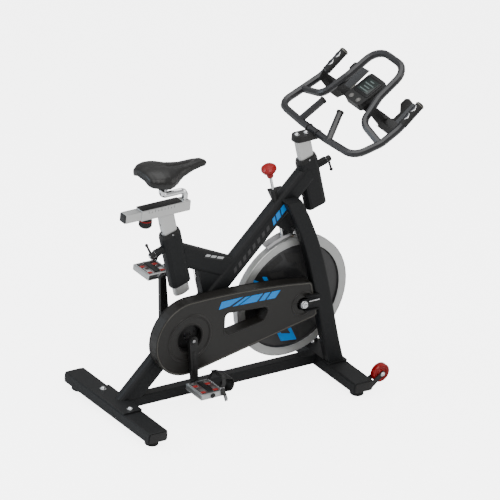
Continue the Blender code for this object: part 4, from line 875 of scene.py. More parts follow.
def decal(points: Outline, y: float, side: float = -1.0, thickness: float = 0.0004) -> BMesh:
    """Return a thin film of ink on a face that looks sideways.

    Args:
        points: (x, z) corners.
        y: sideways place of the face.
        side: -1 where the face looks right, +1 where it looks left.
        thickness: the film's thickness.

    Returns:
        A closed bmesh.
    """
    near = y + side * LIFT
    bm = swept([[Vector((x, near, z)) for x, z in points],
                [Vector((x, near + side * thickness, z)) for x, z in points]])
    bmesh.ops.triangulate(bm, faces=[f for f in bm.faces if len(f.verts) > 4])
    return bm


@dataclass
class SubAssembly:
    """A part of the machine that the workshop dresses.

    Attributes:
        shop: where its pieces go.
    """

    shop: Workshop

    def build(self) -> None:
        """Make every piece of the sub-assembly."""
        raise NotImplementedError


@dataclass
class ChainGuard(SubAssembly):
    """The guard's rims, hub and stripes, and the axle's belt tensioner.

    Attributes:
        widest_bolt_hole: holes wider than this are windows.
        web_bolts: bolts on the pulley's web.
        web_bolt_circle: radius of their circle.
        stripes: corners of the slanted stripes.
        rail_lifts: places of the tensioner's two rails over the axle.
        rail_height: height of a rail.
    """

    widest_bolt_hole: float = 0.12
    web_bolts: int = 5
    web_bolt_circle: float = 0.035
    stripes: tuple[tuple[tuple[float, float], ...], ...] = (
        ((-0.1674, 0.3796), (-0.1581, 0.4084), (-0.0664, 0.4085), (-0.1212, 0.3836)),
        ((-0.1083, 0.3800), (-0.0562, 0.4059), (-0.0352, 0.4052), (-0.0862, 0.3790)),
        ((-0.0785, 0.3788), (-0.0282, 0.4050), (0.0190, 0.4032), (-0.0052, 0.3760)),
        ((0.0046, 0.3757), (0.0264, 0.4028), (0.0504, 0.4016), (0.0296, 0.3748)),
        ((0.0366, 0.3745), (0.0574, 0.4013), (0.0936, 0.3998), (0.0741, 0.3730)))
    rail_lifts: tuple[tuple[str, float], ...] = (("upper", 0.0275), ("lower", -0.0285))
    rail_height: float = 0.0035

    def build(self) -> None:
        """Make the guard's pieces and the tensioner's."""
        self._rims()
        self._hub()
        self._pulley_web()
        self._stripes()
        self._tensioner()
        self._axle_nuts()

    @property
    def face(self) -> float:
        """Return the sideways place of the guard's outer face."""
        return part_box("chain_guard_outer")[0].y

    def _ring(self, name: str, profile: Outline, centre: Vector, steps: int) -> None:
        """Add a ring that lies on the guard's face.

        Args:
            name: piece's name.
            profile: its closed section as (radius, height) pairs.
            centre: place of its middle.
            steps: facets round it.
        """
        self.shop.add(name, lathe(profile, centre, -SIDE, steps), GUARD_PLASTIC, "frame", "black_plastic",
                      sharp=70)

    def _rims(self) -> None:
        """Add the lip, lighter as a painted highlight, the seam between the halves and the window's bead."""
        y = self.face
        loops = face_loops("chain_guard_outer", y)
        outline = [Vector((p.x, y, p.z)) for p in loops[0]]
        # the lip's ridge is real; its lighter colour paints the highlight that runs along the guard's rim
        self.shop.add("guard_lip", ridge(outline, y - LIFT, [(0.0035, 0.0), (0.0045, 0.0016), (0.0062, 0.0016),
                                                             (0.0076, 0.0)]),
                      GUARD_LIP_HIGHLIGHT, "frame", "black_plastic", sharp=60)
        seam_y = (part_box("chain_guard_outer")[1].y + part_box("chain_guard_inner")[0].y) / 2
        self.shop.add("guard_seam", ridge(outline, seam_y, [(-0.0011, -0.0016), (-0.0011, 0.0016),
                                                            (-0.0003, 0.0016), (-0.0003, -0.0016)]),
                      DARK_PLASTIC_AND_PAINTED_SHADE, "frame", "black_plastic")
        windows = [r for r in loops[1:] if max(v.x for v in r) - min(v.x for v in r) > self.widest_bolt_hole]
        for ring in windows[:1]:
            self.shop.add("guard_window_bead", ridge(ring, y - LIFT, [(-0.0010, 0.0), (-0.0022, 0.0010),
                                                                      (-0.0040, 0.0010), (-0.0052, 0.0)]),
                          GUARD_PLASTIC, "frame", "black_plastic", sharp=60)

    def _hub(self) -> None:
        """Add the rings and the dish round the crank's hole."""
        at = Vector((CRANK.x, self.face - LIFT, CRANK.z))
        self._ring("guard_ring", [(0.0820, 0.0), (0.0835, 0.0022), (0.0870, 0.0034), (0.0905, 0.0022),
                                  (0.0925, 0.0)], at, 96)
        self._ring("guard_hub_rim", [(0.0525, 0.0), (0.0535, 0.0016), (0.0560, 0.0016), (0.0575, 0.0)], at, 80)
        self.shop.add("guard_hub_dish",
                      lathe([(0.0512, 0.0), (0.0512, -0.003), (0.0470, -0.0165), (0.0455, -0.0165),
                             (0.0495, 0.0)], at, -SIDE, 80), DISC_PAINT, "frame", "black_plastic", sharp=70)

    def _pulley_web(self) -> None:
        """Add the drive pulley's stepped web with its bolts."""
        pulley_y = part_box("drive_pulley")[0].y - LIFT
        pieces = [lathe([(0.0165, 0.0), (0.0165, 0.0030), (0.0290, 0.0022), (0.0430, 0.0030), (0.0430, 0.0)],
                        Vector((CRANK.x, pulley_y, CRANK.z)), -SIDE, 64)]
        for k in range(self.web_bolts):
            angle = 2 * math.pi * k / self.web_bolts + 0.3
            place = Vector((CRANK.x + self.web_bolt_circle * math.cos(angle), pulley_y - 0.0028,
                            CRANK.z + self.web_bolt_circle * math.sin(angle)))
            pieces.append(lathe([(0.0, 0.0), (0.0042, 0.0), (0.0042, 0.0016), (0.0026, 0.0026), (0.0, 0.0028)],
                                place, -SIDE, 14))
        self.shop.add("drive_pulley_web", joined(*pieces), DISC_PAINT, "crankset", "black_plastic")

    def _stripes(self) -> None:
        """Add the slanted stripes on the guard's face."""
        for k, points in enumerate(self.stripes):
            self.shop.add(f"guard_stripe_{k + 1}", decal(points, self.face), BLUE_INK, "frame", "black_plastic")

    def _tensioner(self) -> None:
        """Add the axle's boss, the two rails and the slot, a thin dark plate of painted shade."""
        self._ring("axle_boss", [(0.0400, 0.0), (0.0410, 0.0018), (0.0440, 0.0026), (0.0470, 0.0018),
                                 (0.0480, 0.0)], Vector((AXLE.x, self.face - LIFT, AXLE.z)), 72)
        plate_low, plate_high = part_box("dropout_right")
        face = plate_low.y - LIFT
        for name, lift in self.rail_lifts:
            z = AXLE.z + lift
            self.shop.add(f"tension_rail_{name}",
                          block(Vector((AXLE.x + 0.004, face - 0.0070, z)),
                                Vector((plate_high.x - 0.004, self.face - 0.0006, z + self.rail_height)), 0.0012),
                          POWDER_COAT, "frame", "frame_paint")
        # the slot is not cut: a thin dark plate paints the shade of its opening
        self.shop.add("tension_slot_shade",
                      plate(rounded(0.034, 0.0125, 0.006, 6), Vector((AXLE.x + 0.020, face, AXLE.z)), FORWARDS,
                            RISE, 0.0006), DARK_PLASTIC_AND_PAINTED_SHADE, "frame", "black_plastic")

    def _axle_nuts(self) -> None:
        """Add the axle's washer, its two nuts and the tension screw."""
        plate_low, plate_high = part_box("dropout_right")
        face = plate_low.y - LIFT
        start = Vector((AXLE.x, face - 0.0010, AXLE.z))
        self.shop.add("axle_washer", lathe([(0.0084, 0.0), (0.0084, 0.0016), (0.0140, 0.0016), (0.0148, 0.0)],
                                           start, -SIDE, 40), PLAIN_STEEL, "frame", "steel")
        self.shop.add("axle_nut", lathe([(0.0084, 0.0), (0.0084, 0.0072), (0.0112, 0.0072), (0.0128, 0.0060),
                                         (0.0128, 0.0)], start - SIDE * 0.0017, -SIDE, 6),
                      BRIGHT_CHROME, "frame", "steel", bevel=0.0004)
        screw = Vector((AXLE.x + 0.0165, face - 0.0040, AXLE.z + 0.0105))
        end = Vector((plate_high.x - 0.006, face - 0.0040, AXLE.z + 0.0105))
        self.shop.add("tension_screw", tube([screw, (screw + end) / 2, end], 0.0028, 16), BRIGHT_CHROME,
                      "frame", "steel")
        out = Vector((AXLE.x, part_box("dropout_left")[1].y + LIFT, AXLE.z))
        self.shop.add("axle_nut_left", lathe([(0.0084, 0.0), (0.0084, 0.0060), (0.0112, 0.0060),
                                              (0.0128, 0.0048), (0.0128, 0.0)], out, SIDE, 6),
                      BRIGHT_CHROME, "frame", "steel", bevel=0.0004)


# ------------------------------------------------------------------ flywheel and drive
DISC_SHAPES: tuple[tuple[Finish, Outline], ...] = (
    (BLUE_INK, [(0.0241, 0.4217), (0.0344, 0.3952), (0.0789, 0.3924)]),
    (BLUE_INK, [(0.0632, 0.4241), (0.0826, 0.3923), (0.1001, 0.3902), (0.0844, 0.4181)]),
    (BLUE_INK, [(0.0864, 0.3089), (0.1074, 0.2689), (0.1169, 0.2729), (0.1015, 0.3056)]),
    (BLUE_INK, [(0.1494, 0.1906), (0.1606, 0.1993), (0.1719, 0.1772), (0.2128, 0.1683), (0.2420, 0.1383),
                (0.1746, 0.1462)]),
    (BLUE_INK, [(0.1606, 0.1993), (0.2026, 0.2094), (0.2420, 0.1383), (0.2128, 0.1683), (0.1972, 0.1913)]),
    (DISC_GREY, [(0.0733, 0.4582), (0.1335, 0.4957), (0.1471, 0.4726), (0.0888, 0.4347)]),
    (DISC_GREY, [(0.0913, 0.4291), (0.1522, 0.4278), (0.1641, 0.4033), (0.1015, 0.4101)]),
    (DISC_GREY, [(0.1459, 0.4998), (0.2138, 0.4852), (0.2238, 0.4460), (0.1691, 0.4578)]),
    (DISC_GREY, [(0.1933, 0.4391), (0.2219, 0.4465), (0.2622, 0.3839), (0.2429, 0.3914)]),
    (DISC_GREY, [(0.2254, 0.2196), (0.2868, 0.1995), (0.3121, 0.1721), (0.2530, 0.1392)]),
)


def cap_screw(place: Vector, along: Vector, radius: float, height: float) -> BMesh:
    """Return a domed screw head with a hexagonal socket.

    Args:
        place: middle of its seat.
        along: direction that it stands out in.
        radius: head's radius.
        height: head's height.

    Returns:
        A closed bmesh.
    """
    head = lathe([(0.0, 0.0), (radius, 0.0), (radius * 0.98, height * 0.35), (radius * 0.86, height * 0.68),
                  (radius * 0.66, height * 0.90), (radius * 0.42, height), (radius * 0.40, height * 0.55),
                  (0.0, height * 0.50)], place, along, 24)
    return head


@dataclass
class Flywheel(SubAssembly):
    """The disc's printed shapes, the rim's lines and the hub on both faces.

    Attributes:
        prints: finish and corners of each printed shape.
        rim_lines: radii of the lines turned into the rim.
        half_rim: half of the rim's thickness.
        half_disc: half of the disc's thickness.
        hub_bolts: bolts round the hub.
        bolt_circle: radius of their circle.
    """

    prints: tuple[tuple[Finish, Outline], ...] = DISC_SHAPES
    rim_lines: tuple[float, ...] = (0.2045, 0.2275)
    half_rim: float = 0.0145
    half_disc: float = 0.0070
    hub_bolts: int = 6
    bolt_circle: float = 0.040

    def build(self) -> None:
        """Dress both faces."""
        for side, word in ((-1.0, "right"), (1.0, "left")):
            self._prints(side, word)
            self._rim(side, word)
            self._hub(side, word)

    def _prints(self, side: float, word: str) -> None:
        """Add one face's printed shapes.

        Args:
            side: -1 on the right, 1 on the left.
            word: the side's name.
        """
        for k, (finish, points) in enumerate(self.prints):
            self.shop.add(f"disc_print_{word}_{k + 1}", decal(points, AXLE.y + side * self.half_disc, side),
                          finish, "flywheel", "flywheel_metal")

    def _rim(self, side: float, word: str) -> None:
        """Add one face's turned lines.

        Args:
            side: -1 on the right, 1 on the left.
            word: the side's name.
        """
        rim = Vector((AXLE.x, AXLE.y + side * (self.half_rim + LIFT), AXLE.z))
        for k, radius in enumerate(self.rim_lines):
            self.shop.add(f"rim_line_{word}_{k + 1}",
                          lathe([(radius, 0.0), (radius, 0.0003), (radius + 0.0007, 0.0003),
                                 (radius + 0.0007, 0.0)], rim, SIDE * side, 120), PLAIN_STEEL, "flywheel",
                          "flywheel_metal")

    def _hub(self, side: float, word: str) -> None:
        """Add one face's hub ring and bolts.

        Args:
            side: -1 on the right, 1 on the left.
            word: the side's name.
        """
        hub = Vector((AXLE.x, AXLE.y + side * (self.half_disc + 0.0002), AXLE.z))
        self.shop.add(f"disc_hub_ring_{word}",
                      lathe([(0.0360, 0.0), (0.0360, 0.0016), (0.0440, 0.0016), (0.0460, 0.0)], hub,
                            SIDE * side, 72), DISC_PAINT, "flywheel", "flywheel_metal")
        for k in range(self.hub_bolts):
            angle = 2 * math.pi * k / self.hub_bolts + 0.2
            place = hub + Vector((self.bolt_circle * math.cos(angle), side * 0.0017,
                                  self.bolt_circle * math.sin(angle)))
            self.shop.add(f"disc_bolt_{word}_{k + 1}",
                          lathe([(0.0, 0.0), (0.0028, 0.0), (0.0028, 0.0010), (0.0016, 0.0016), (0.0, 0.0016)],
                                place, SIDE * side, 12), PLAIN_STEEL, "flywheel", "steel")


@dataclass
class CranksAndPedals(SubAssembly):
    """The cranks' caps and ribs, and the pedals' bodies, teeth and straps.

    Attributes:
        crank_faces: sideways place of each crank's outer face.
        half_width: half of a pedal body's width.
        half_length: half of a pedal body's length.
        half_height: half of a pedal's height at its middle.
        gap_middle: how far the gap's middle is from the spindle.
        teeth: gripping teeth along one edge.
        rungs: raised rungs on the strap's loose end.
    """

    crank_faces: tuple[tuple[str, float], ...] = (("right", -0.1050), ("left", 0.0855))
    half_width: float = 0.0105
    half_length: float = 0.036
    half_height: float = 0.0110
    gap_middle: float = 0.0262
    teeth: int = 9
    rungs: int = 5

    def build(self) -> None:
        """Dress both cranks and both pedals."""
        for side, face_y in self.crank_faces:
            sign = -1.0 if side == "right" else 1.0
            self._crank(side, sign, face_y)
            self._spindle_ends(side, sign)
            self._body(side)
            self._inserts(side)
            self._strap(side, sign)

    def _crank(self, side: str, sign: float, face_y: float) -> None:
        """Add a crank's cap, bolt and rib.

        Args:
            side: which crank.
            sign: -1 on the right, 1 on the left.
            face_y: sideways place of its outer face.
        """
        out = SIDE * sign
        face = Vector((CRANK.x, face_y, CRANK.z))
        self.shop.add(f"crank_cap_{side}",
                      lathe([(0.0, 0.0), (0.0135, 0.0), (0.0135, 0.0012), (0.0122, 0.0022), (0.0080, 0.0024),
                             (0.0072, 0.0010), (0.0, 0.0010)], face + out * LIFT, out, 36), GLOSS_BLACK,
                      "crankset", "black_plastic")
        self.shop.add(f"crank_bolt_{side}", cap_screw(face + out * (LIFT * 2 + 0.0010), out, 0.0062, 0.0030),
                      PLAIN_STEEL, "crankset", "steel")
        tip = middle(f"pedal_{side}")
        near = Vector((tip.x, face.y, tip.z))
        along = (near - face).normalized()
        across = along.cross(SIDE).normalized()
        length = (near - face).length
        shape = [(u + length * 0.52, v) for u, v in rounded(length * 0.56, 0.0105, 0.005, 5)]
        self.shop.add(f"crank_arm_rib_{side}",
                      plate(shape, face + out * LIFT, along,
                            across * (1 if along.cross(across).dot(out) > 0 else -1), 0.0012, 0.0005, 2),
                      ARM_COAT, "crankset", "arm_paint")

    def _spindle_ends(self, side: str, sign: float) -> None:
        """Add a pedal's collar and end cap.

        Args:
            side: which pedal.
            sign: -1 on the right, 1 on the left.
        """
        body, out = f"pedal_{side}", SIDE * sign
        low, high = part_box(body)
        centre = (low + high) / 2
        inner_y, outer_y = (low.y, high.y) if sign > 0 else (high.y, low.y)
        self.shop.add(f"pedal_collar_{side}",
                      lathe([(0.0064, 0.0), (0.0064, 0.0052), (0.0090, 0.0052), (0.0100, 0.0040), (0.0100, 0.0)],
                            Vector((centre.x, inner_y - out.y * 0.0002, centre.z)), -out, 24), PLAIN_STEEL,
                      body, "steel")
        self.shop.add(f"pedal_cap_{side}",
                      lathe([(0.0, 0.0), (0.0095, 0.0), (0.0095, 0.0020), (0.0080, 0.0034), (0.0, 0.0040)],
                            Vector((centre.x, outer_y + out.y * LIFT, centre.z)), out, 24), DARK_PLASTIC_AND_PAINTED_SHADE, body,
                      "black_plastic")

    def _body(self, side: str) -> None:
        """Add a pedal's covers over the spindle and its gripping teeth.

        Args:
            side: which pedal.
        """
        body = f"pedal_{side}"
        low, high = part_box(body)
        centre = (low + high) / 2
        top = centre.z + self.half_height + LIFT
        under = centre.z - self.half_height - LIFT
        for word, bottom in (("top", top), ("under", under - 0.0034)):
            self.shop.add(f"pedal_body_{word}_{side}",
                          block(Vector((centre.x - self.half_width, centre.y - self.half_length, bottom)),
                                Vector((centre.x + self.half_width, centre.y + self.half_length,
                                        bottom + 0.0034)), 0.0016), MOULDING, body, "black_plastic")
        teeth = []
        for k in range(self.teeth):
            y = centre.y - 0.040 + 0.010 * k
            for x in (low.x + 0.0045, high.x - 0.0045):
                for z, up in ((top, 1.0), (under, -1.0)):
                    teeth.append(lathe([(0.0, 0.0), (0.0024, 0.0), (0.0011, 0.0026), (0.0, 0.0028)],
                                       Vector((x, y, z)), RISE * up, 8))
        self.shop.add(f"pedal_teeth_{side}", joined(*teeth), CAGE_ALLOY, body, "pedal_alloy")

    def _inserts(self, side: str) -> None:
        """Add a pedal's coloured inserts and the pins they sit on.

        Args:
            side: which pedal.
        """
        body, centre = f"pedal_{side}", middle(f"pedal_{side}")
        inserts, pins = [], []
        for dx in (-self.gap_middle, self.gap_middle):
            for z in (centre.z + 0.0062, centre.z - 0.0062):
                for start, end in ((-0.0300, -0.0180), (0.0180, 0.0300)):
                    inserts.append(block(
                        Vector((centre.x + dx - self.half_width, centre.y + start, z - 0.0016)),
                        Vector((centre.x + dx + self.half_width, centre.y + end, z + 0.0016)), 0.0010, 2))
            pins.append(tube([Vector((centre.x + dx, centre.y + reach, centre.z))
                              for reach in (-0.0395, 0.0, 0.0395)], 0.0030, 12))
        self.shop.add(f"pedal_inserts_{side}", joined(*inserts), PALE_RED, body, "red_plastic")
        self.shop.add(f"pedal_pins_{side}", joined(*pins), DARK_PLASTIC_AND_PAINTED_SHADE, body, "steel")

    def _strap(self, side: str, sign: float) -> None:
        """Add a pedal's strap, its buckle and the loose end.

        Args:
            side: which pedal.
            sign: -1 on the right, 1 on the left.
        """
        body = f"pedal_{side}"
        low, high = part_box(body)
        centre = (low + high) / 2
        clip_low, clip_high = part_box(f"toe_clip_{side}")
        x, crown = high.x + 0.010, clip_high.z + 0.0022
        wide = (clip_high.y - clip_low.y) / 2 + 0.006
        path = softened([Vector((x - 0.020, centre.y - wide - 0.004, centre.z - 0.004)),
                         Vector((x - 0.006, centre.y - wide, centre.z + 0.030)),
                         Vector((x, centre.y - wide * 0.70, crown)),
                         Vector((x, centre.y + wide * 0.70, crown)),
                         Vector((x - 0.006, centre.y + wide, centre.z + 0.030)),
                         Vector((x - 0.020, centre.y + wide + 0.004, centre.z - 0.004))],
                        [0.020, 0.012, 0.012, 0.020], 8)
        self.shop.add(f"pedal_strap_{side}", tube(path, 0.0080, 16, 0.14, FORWARDS), WEBBING, body, "rubber")
        out = SIDE * sign
        buckle = Vector((x - 0.0155, centre.y + sign * (wide + 0.0045), centre.z + 0.012))
        self.shop.add(f"pedal_buckle_{side}", block(buckle - Vector((0.0100, 0.0022, 0.0075)),
                                                    buckle + Vector((0.0100, 0.0030, 0.0075)), 0.0014, 3),
                      PLAIN_STEEL, body, "steel")
        tail = softened([buckle + out * 0.002 + RISE * 0.006, buckle + out * 0.010 - RISE * 0.004,
                         buckle + out * 0.0135 - RISE * 0.018 + FORWARDS * 0.006,
                         buckle + out * 0.0125 - RISE * 0.040 + FORWARDS * 0.015], [0.008, 0.016], 8)
        self.shop.add(f"pedal_strap_tail_{side}", tube(tail, 0.0078, 16, 0.16, FORWARDS), WEBBING, body,
                      "rubber")
        rungs = []
        for k in range(self.rungs):
            place = tail[-1] + (tail[-8] - tail[-1]) * (k * 0.22) + out * 0.0016
            rungs.append(block(place - Vector((0.0050, 0.0006, 0.0011)),
                               place + Vector((0.0050, 0.0006, 0.0011)), 0.0004, 2))
        self.shop.add(f"pedal_strap_rungs_{side}", joined(*rungs), PALE_INK, body, "rubber")


# ------------------------------------------------------------------ frame
def dome_bolt(shop: Workshop, name: str, place: Vector, along: Vector, radius: float, body: str,
              finish: Finish = BRIGHT_CHROME) -> None:
    """Add a flanged dome bolt on a face.

    Args:
        shop: where the piece goes.
        name: piece's name.
        place: middle of its seat.
        along: direction that it stands out in.
        radius: radius of its dome.
        body: body that carries it.
        finish: its finish.
    """
    shop.add(name, lathe([(0.0, 0.0), (radius * 1.35, 0.0), (radius * 1.35, radius * 0.18), (radius, radius * 0.26),
                          (radius * 0.93, radius * 0.60), (radius * 0.70, radius * 0.92),
                          (radius * 0.38, radius * 1.08), (0.0, radius * 1.14)],
                         place + along.normalized() * LIFT, along, 32), finish, body, "steel")


def weld(points: Sequence[Vector], radius: float = 0.0022) -> BMesh:
    """Return a rippled weld bead through places.

    Args:
        points: places along the seam.
        radius: bead's mean radius.

    Returns:
        A closed bmesh.
    """
    path, radii = [], []
    for a, b in zip(points, points[1:]):
        steps = max(2, int((b - a).length / 0.0022))
        for i in range(steps):
            path.append(a + (b - a) * i / steps)
    path.append(points[-1])
    for i in range(len(path)):
        radii.append(radius * (1.0 + 0.16 * math.sin(i * math.pi * 0.9)))
    return tube(path, radii, 8)


@dataclass
class FramePaint(SubAssembly):
    """The printed stripes and dashes on the main tube and the link tube.

    Attributes:
        tube_start: a place on the main tube's middle line.
        tube_end: another, further up.
        first_mark: where the dashes begin.
        dashes: number of dashes.
        dash_pitch: spacing of the dashes.
        stripe_runs: where each stripe begins and ends after the first mark.
        link_start: where the link tube's marks begin.
        link_end: where they end.
        link_runs: where each of its marks begins and ends.
    """

    tube_start: Vector = Vector((-0.4695, 0.0, 0.0573))
    tube_end: Vector = Vector((0.2230, 0.0, 0.8061))
    first_mark: Vector = Vector((-0.095, 0.0, 0.4869))
    dashes: int = 8
    dash_pitch: float = 0.0262
    stripe_runs: tuple[tuple[float, float], ...] = ((0.222, 0.236), (0.2415, 0.263), (0.2685, 0.2955))
    link_start: Vector = Vector((-0.2140, 0.0, 0.5728))
    link_end: Vector = Vector((-0.1125, 0.0, 0.5362))
    link_runs: tuple[tuple[float, float], ...] = ((0.010, 0.030), (0.036, 0.058), (0.064, 0.092))

    def build(self) -> None:
        """Make every printed mark."""
        low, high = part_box("main_tube")
        along = (self.tube_end - self.tube_start).normalized()
        origin = (self.first_mark - self.tube_start).dot(along)
        for k in range(self.dashes):
            first = origin + 0.006 + k * self.dash_pitch
            self._print(f"tube_dash_{k + 1}", self.tube_start, along, (first, first + 0.0145, -0.009, 0.009),
                        0.010, low.y, -1.0, GREY_INK)
        for word, y, side in (("stripe", low.y, -1.0), ("stripe_left", high.y, 1.0)):
            for k, (first, last) in enumerate(self.stripe_runs):
                self._print(f"tube_{word}_{k + 1}", self.tube_start, along,
                            (origin + first, origin + last, -0.013, 0.013), 0.014, y, side, BLUE_INK)
        link_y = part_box("link_tube")[0].y
        run = (self.link_end - self.link_start).normalized()
        for k, (first, last) in enumerate(self.link_runs):
            self._print(f"link_mark_{k + 1}", self.link_start, run, (first, last, 0.000, 0.0085), 0.005, link_y,
                        -1.0, PALE_INK)
        self._print("link_mark_line", self.link_start, run, (0.006, 0.092, -0.0050, -0.0030), 0.0, link_y, -1.0,
                    GREY_INK)

    def _print(self, name: str, start: Vector, along: Vector, extent: tuple[float, float, float, float],
               slant: float, y: float, side: float, ink: Finish) -> None:
        """Add one slanted mark.

        Args:
            name: piece's name.
            start: zero of the extent.
            along: direction of its first two numbers.
            extent: first and last distance along, lowest and highest across.
            slant: how far the upper edge is shifted along.
            y: sideways place of the face.
            side: -1 where the face looks right, 1 where it looks left.
            ink: its finish.
        """
        first, last, low, high = extent
        normal = Vector((-along.z, 0.0, along.x))
        corners = ((first, low), (last, low), (last + slant, high), (first + slant, high))
        places = [start + along * a + normal * b for a, b in corners]
        self.shop.add(name, decal([(p.x, p.z) for p in places], y, side), ink, "frame", "frame_paint")


@dataclass
class FrameHardware(SubAssembly):
    """The frame's bolts, end caps, welds, collars and transport wheels.

    Attributes:
        rear_bolts: how far the rear bolts are from the middle.
        front_bolts: how far the front bolts are from the middle.
        weld_half_gap: how far the welds are from the middle.
        welds: name, both ends and share of the gap for each weld.
    """

    rear_bolts: float = 0.083
    front_bolts: float = 0.060
    weld_half_gap: float = 0.0200
    welds: tuple[tuple[str, tuple[float, float], tuple[float, float], float], ...] = (
        ("link_rear", (-0.2925, 0.6180), (-0.3180, 0.5380), 1.0),
        ("gusset_rear", (-0.2265, 0.5220), (-0.1960, 0.4240), 0.93))

    def build(self) -> None:
        """Make the frame's pieces."""
        self._base_bolts()
        self._end_caps()
        self._welds()
        self._collars()
        self._transport_wheels()

    def _base_bolts(self) -> None:
        """Add the bolts through the two mounting plates."""
        rear, front = middle("rear_stabilizer").x, middle("front_stabilizer").x
        places = ((rear, -self.rear_bolts), (rear, self.rear_bolts), (front, -self.front_bolts),
                  (front, self.front_bolts))
        for k, (x, y) in enumerate(places):
            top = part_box("rear_mount_plate" if x < 0 else "front_mount_plate")[1].z
            dome_bolt(self.shop, f"base_bolt_{k + 1}", Vector((x, y, top)), RISE, 0.0085, "frame")

    def _end_caps(self) -> None:
        """Add the stabilisers' end caps and the feet's washers."""
        for end in ("rear", "front"):
            low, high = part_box(f"{end}_stabilizer")
            for word, y, out in (("right", low.y, -1.0), ("left", high.y, 1.0)):
                shape = rounded(high.x - low.x - 0.006, high.z - low.z - 0.006, 0.0080, 6)
                cap = plate(shape, Vector(((low.x + high.x) / 2, y + out * LIFT, (low.z + high.z) / 2)),
                            FORWARDS, RISE, -out * 0.0032, 0.0013, 3)
                self.shop.add(f"end_cap_{end}_{word}", cap, MOULDING, "frame", "black_plastic")
                foot = middle(f"foot_{end}_{word}")
                self.shop.add(f"foot_washer_{end}_{word}",
                              lathe([(0.0056, 0.0), (0.0056, 0.0016), (0.0118, 0.0016), (0.0118, 0.0)],
                                    Vector((foot.x, foot.y, low.z - 0.0017 - LIFT)), RISE, 32), PLAIN_STEEL,
                              f"foot_{end}_{word}", "steel")

    def _welds(self) -> None:
        """Add weld beads where the tubes meet."""
        for side, word in ((-1.0, "right"), (1.0, "left")):
            for name, a, b, share in self.welds:
                y = side * self.weld_half_gap * share
                self.shop.add(f"weld_{name}_{word}",
                              weld([Vector((a[0], y, a[1])), Vector((b[0], y, b[1]))], 0.0012), POWDER_COAT,
                              "frame", "frame_paint")

    def _collars(self) -> None:
        """Add the screws of the two collars."""
        for word in ("seat", "head"):
            low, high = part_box(f"{word}_bushing")
            centre, reach = (low + high) / 2, (high.y - low.y) / 2 - 0.0008
            screws = [cap_screw(centre + SIDE * side * reach, SIDE * side, 0.0034, 0.0020)
                      for side in (-1.0, 1.0)]
            self.shop.add(f"{word}_collar_screws", joined(*screws), PLAIN_STEEL, "frame", "steel")

    def _transport_wheels(self) -> None:
        """Add the wheels' rings and the bolts of their forks."""
        for word, sign in (("right", -1.0), ("left", 1.0)):
            body = f"transport_wheel_{word}"
            low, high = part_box(body)
            centre = (low + high) / 2
            for side, face, tag in ((-1.0, low.y, "a"), (1.0, high.y, "b")):
                self.shop.add(f"wheel_ring_{word}_{tag}",
                              lathe([(0.0215, 0.0), (0.0225, 0.0009), (0.0245, 0.0009), (0.0255, 0.0)],
                                    Vector((centre.x, face, centre.z)), SIDE * side, 56), RED_GLOSS, body,
                              "red_plastic", sharp=70)
            fork_low, fork_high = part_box(f"wheel_bracket_{word}")
            for side, face in ((-1.0, fork_low.y), (1.0, fork_high.y)):
                dome_bolt(self.shop, f"wheel_bolt_{word}_{'outer' if side == sign else 'inner'}",
                          Vector((centre.x, face, centre.z)), SIDE * side, 0.0062, "frame")


@dataclass
class Brake(SubAssembly):
    """The brake knob's skirt, the felt pad and the arm's pin heads.

    Attributes:
        rod_top: place of the rod's upper end.
        hinge: place of the arm's pin.
        pad_thickness: the pad's thickness.
        pad_half_width: half of its width.
    """

    rod_top: Vector = Vector((0.0600, 0.0, 0.8160))
    hinge: Vector = Vector((0.1748, 0.0, 0.5788))
    pad_thickness: float = 0.0050
    pad_half_width: float = 0.0135

    def build(self) -> None:
        """Make the brake's pieces."""
        self.shop.add("knob_skirt", lathe([(0.0062, 0.0), (0.0062, 0.0030), (0.0098, 0.0030), (0.0104, 0.0020),
                                           (0.0104, 0.0)], self.rod_top - UP * 0.0036, UP, 36), BLACK_RUBBER,
                      "resistance_knob", "rubber")
        self._pad()
        for side, word in ((-1.0, "right"), (1.0, "left")):
            self.shop.add(f"brake_pin_head_{word}",
                          cap_screw(self.hinge + SIDE * side * 0.0192, SIDE * side, 0.0058, 0.0034),
                          BRIGHT_CHROME, "frame", "steel")

    def _pad(self) -> None:
        """Add the felt pad that follows the arm's inner curve."""
        flat = [Vector((v.co.x - AXLE.x, 0.0, v.co.z - AXLE.z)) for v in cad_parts["brake_arm"].data.vertices]
        inner = min(p.length for p in flat)
        angles = [math.atan2(p.z, p.x) for p in flat if p.length < inner + 0.001]
        first, last = min(angles) + 0.02, max(angles) - 0.01
        outline = arc((AXLE.x, AXLE.z), inner - LIFT, first, last, 24)
        outline += arc((AXLE.x, AXLE.z), inner - LIFT - self.pad_thickness, first, last, 24)[::-1]
        pad = swept([[Vector((x, y, z)) for x, z in outline]
                     for y in (-self.pad_half_width, self.pad_half_width)])
        bmesh.ops.triangulate(pad, faces=[f for f in pad.faces if len(f.verts) > 4])
        self.shop.add("brake_pad", pad, BRAKE_FELT, "brake_arm", "rubber")


Table = tuple[tuple[float, float], ...]


def read(table: Table, share: float) -> float:
    """Read a table of (share, value) pairs with a smooth step between them.

    Args:
        table: pairs in rising order of the share.
        share: where it is read.

    Returns:
        The value there.
    """
    for (s0, v0), (s1, v1) in zip(table, table[1:]):
        if share <= s1:
            t = (share - s0) / (s1 - s0)
            t = t * t * (3 - 2 * t) * 0.5 + t * 0.5
            return v0 + (v1 - v0) * t
    return table[-1][1]


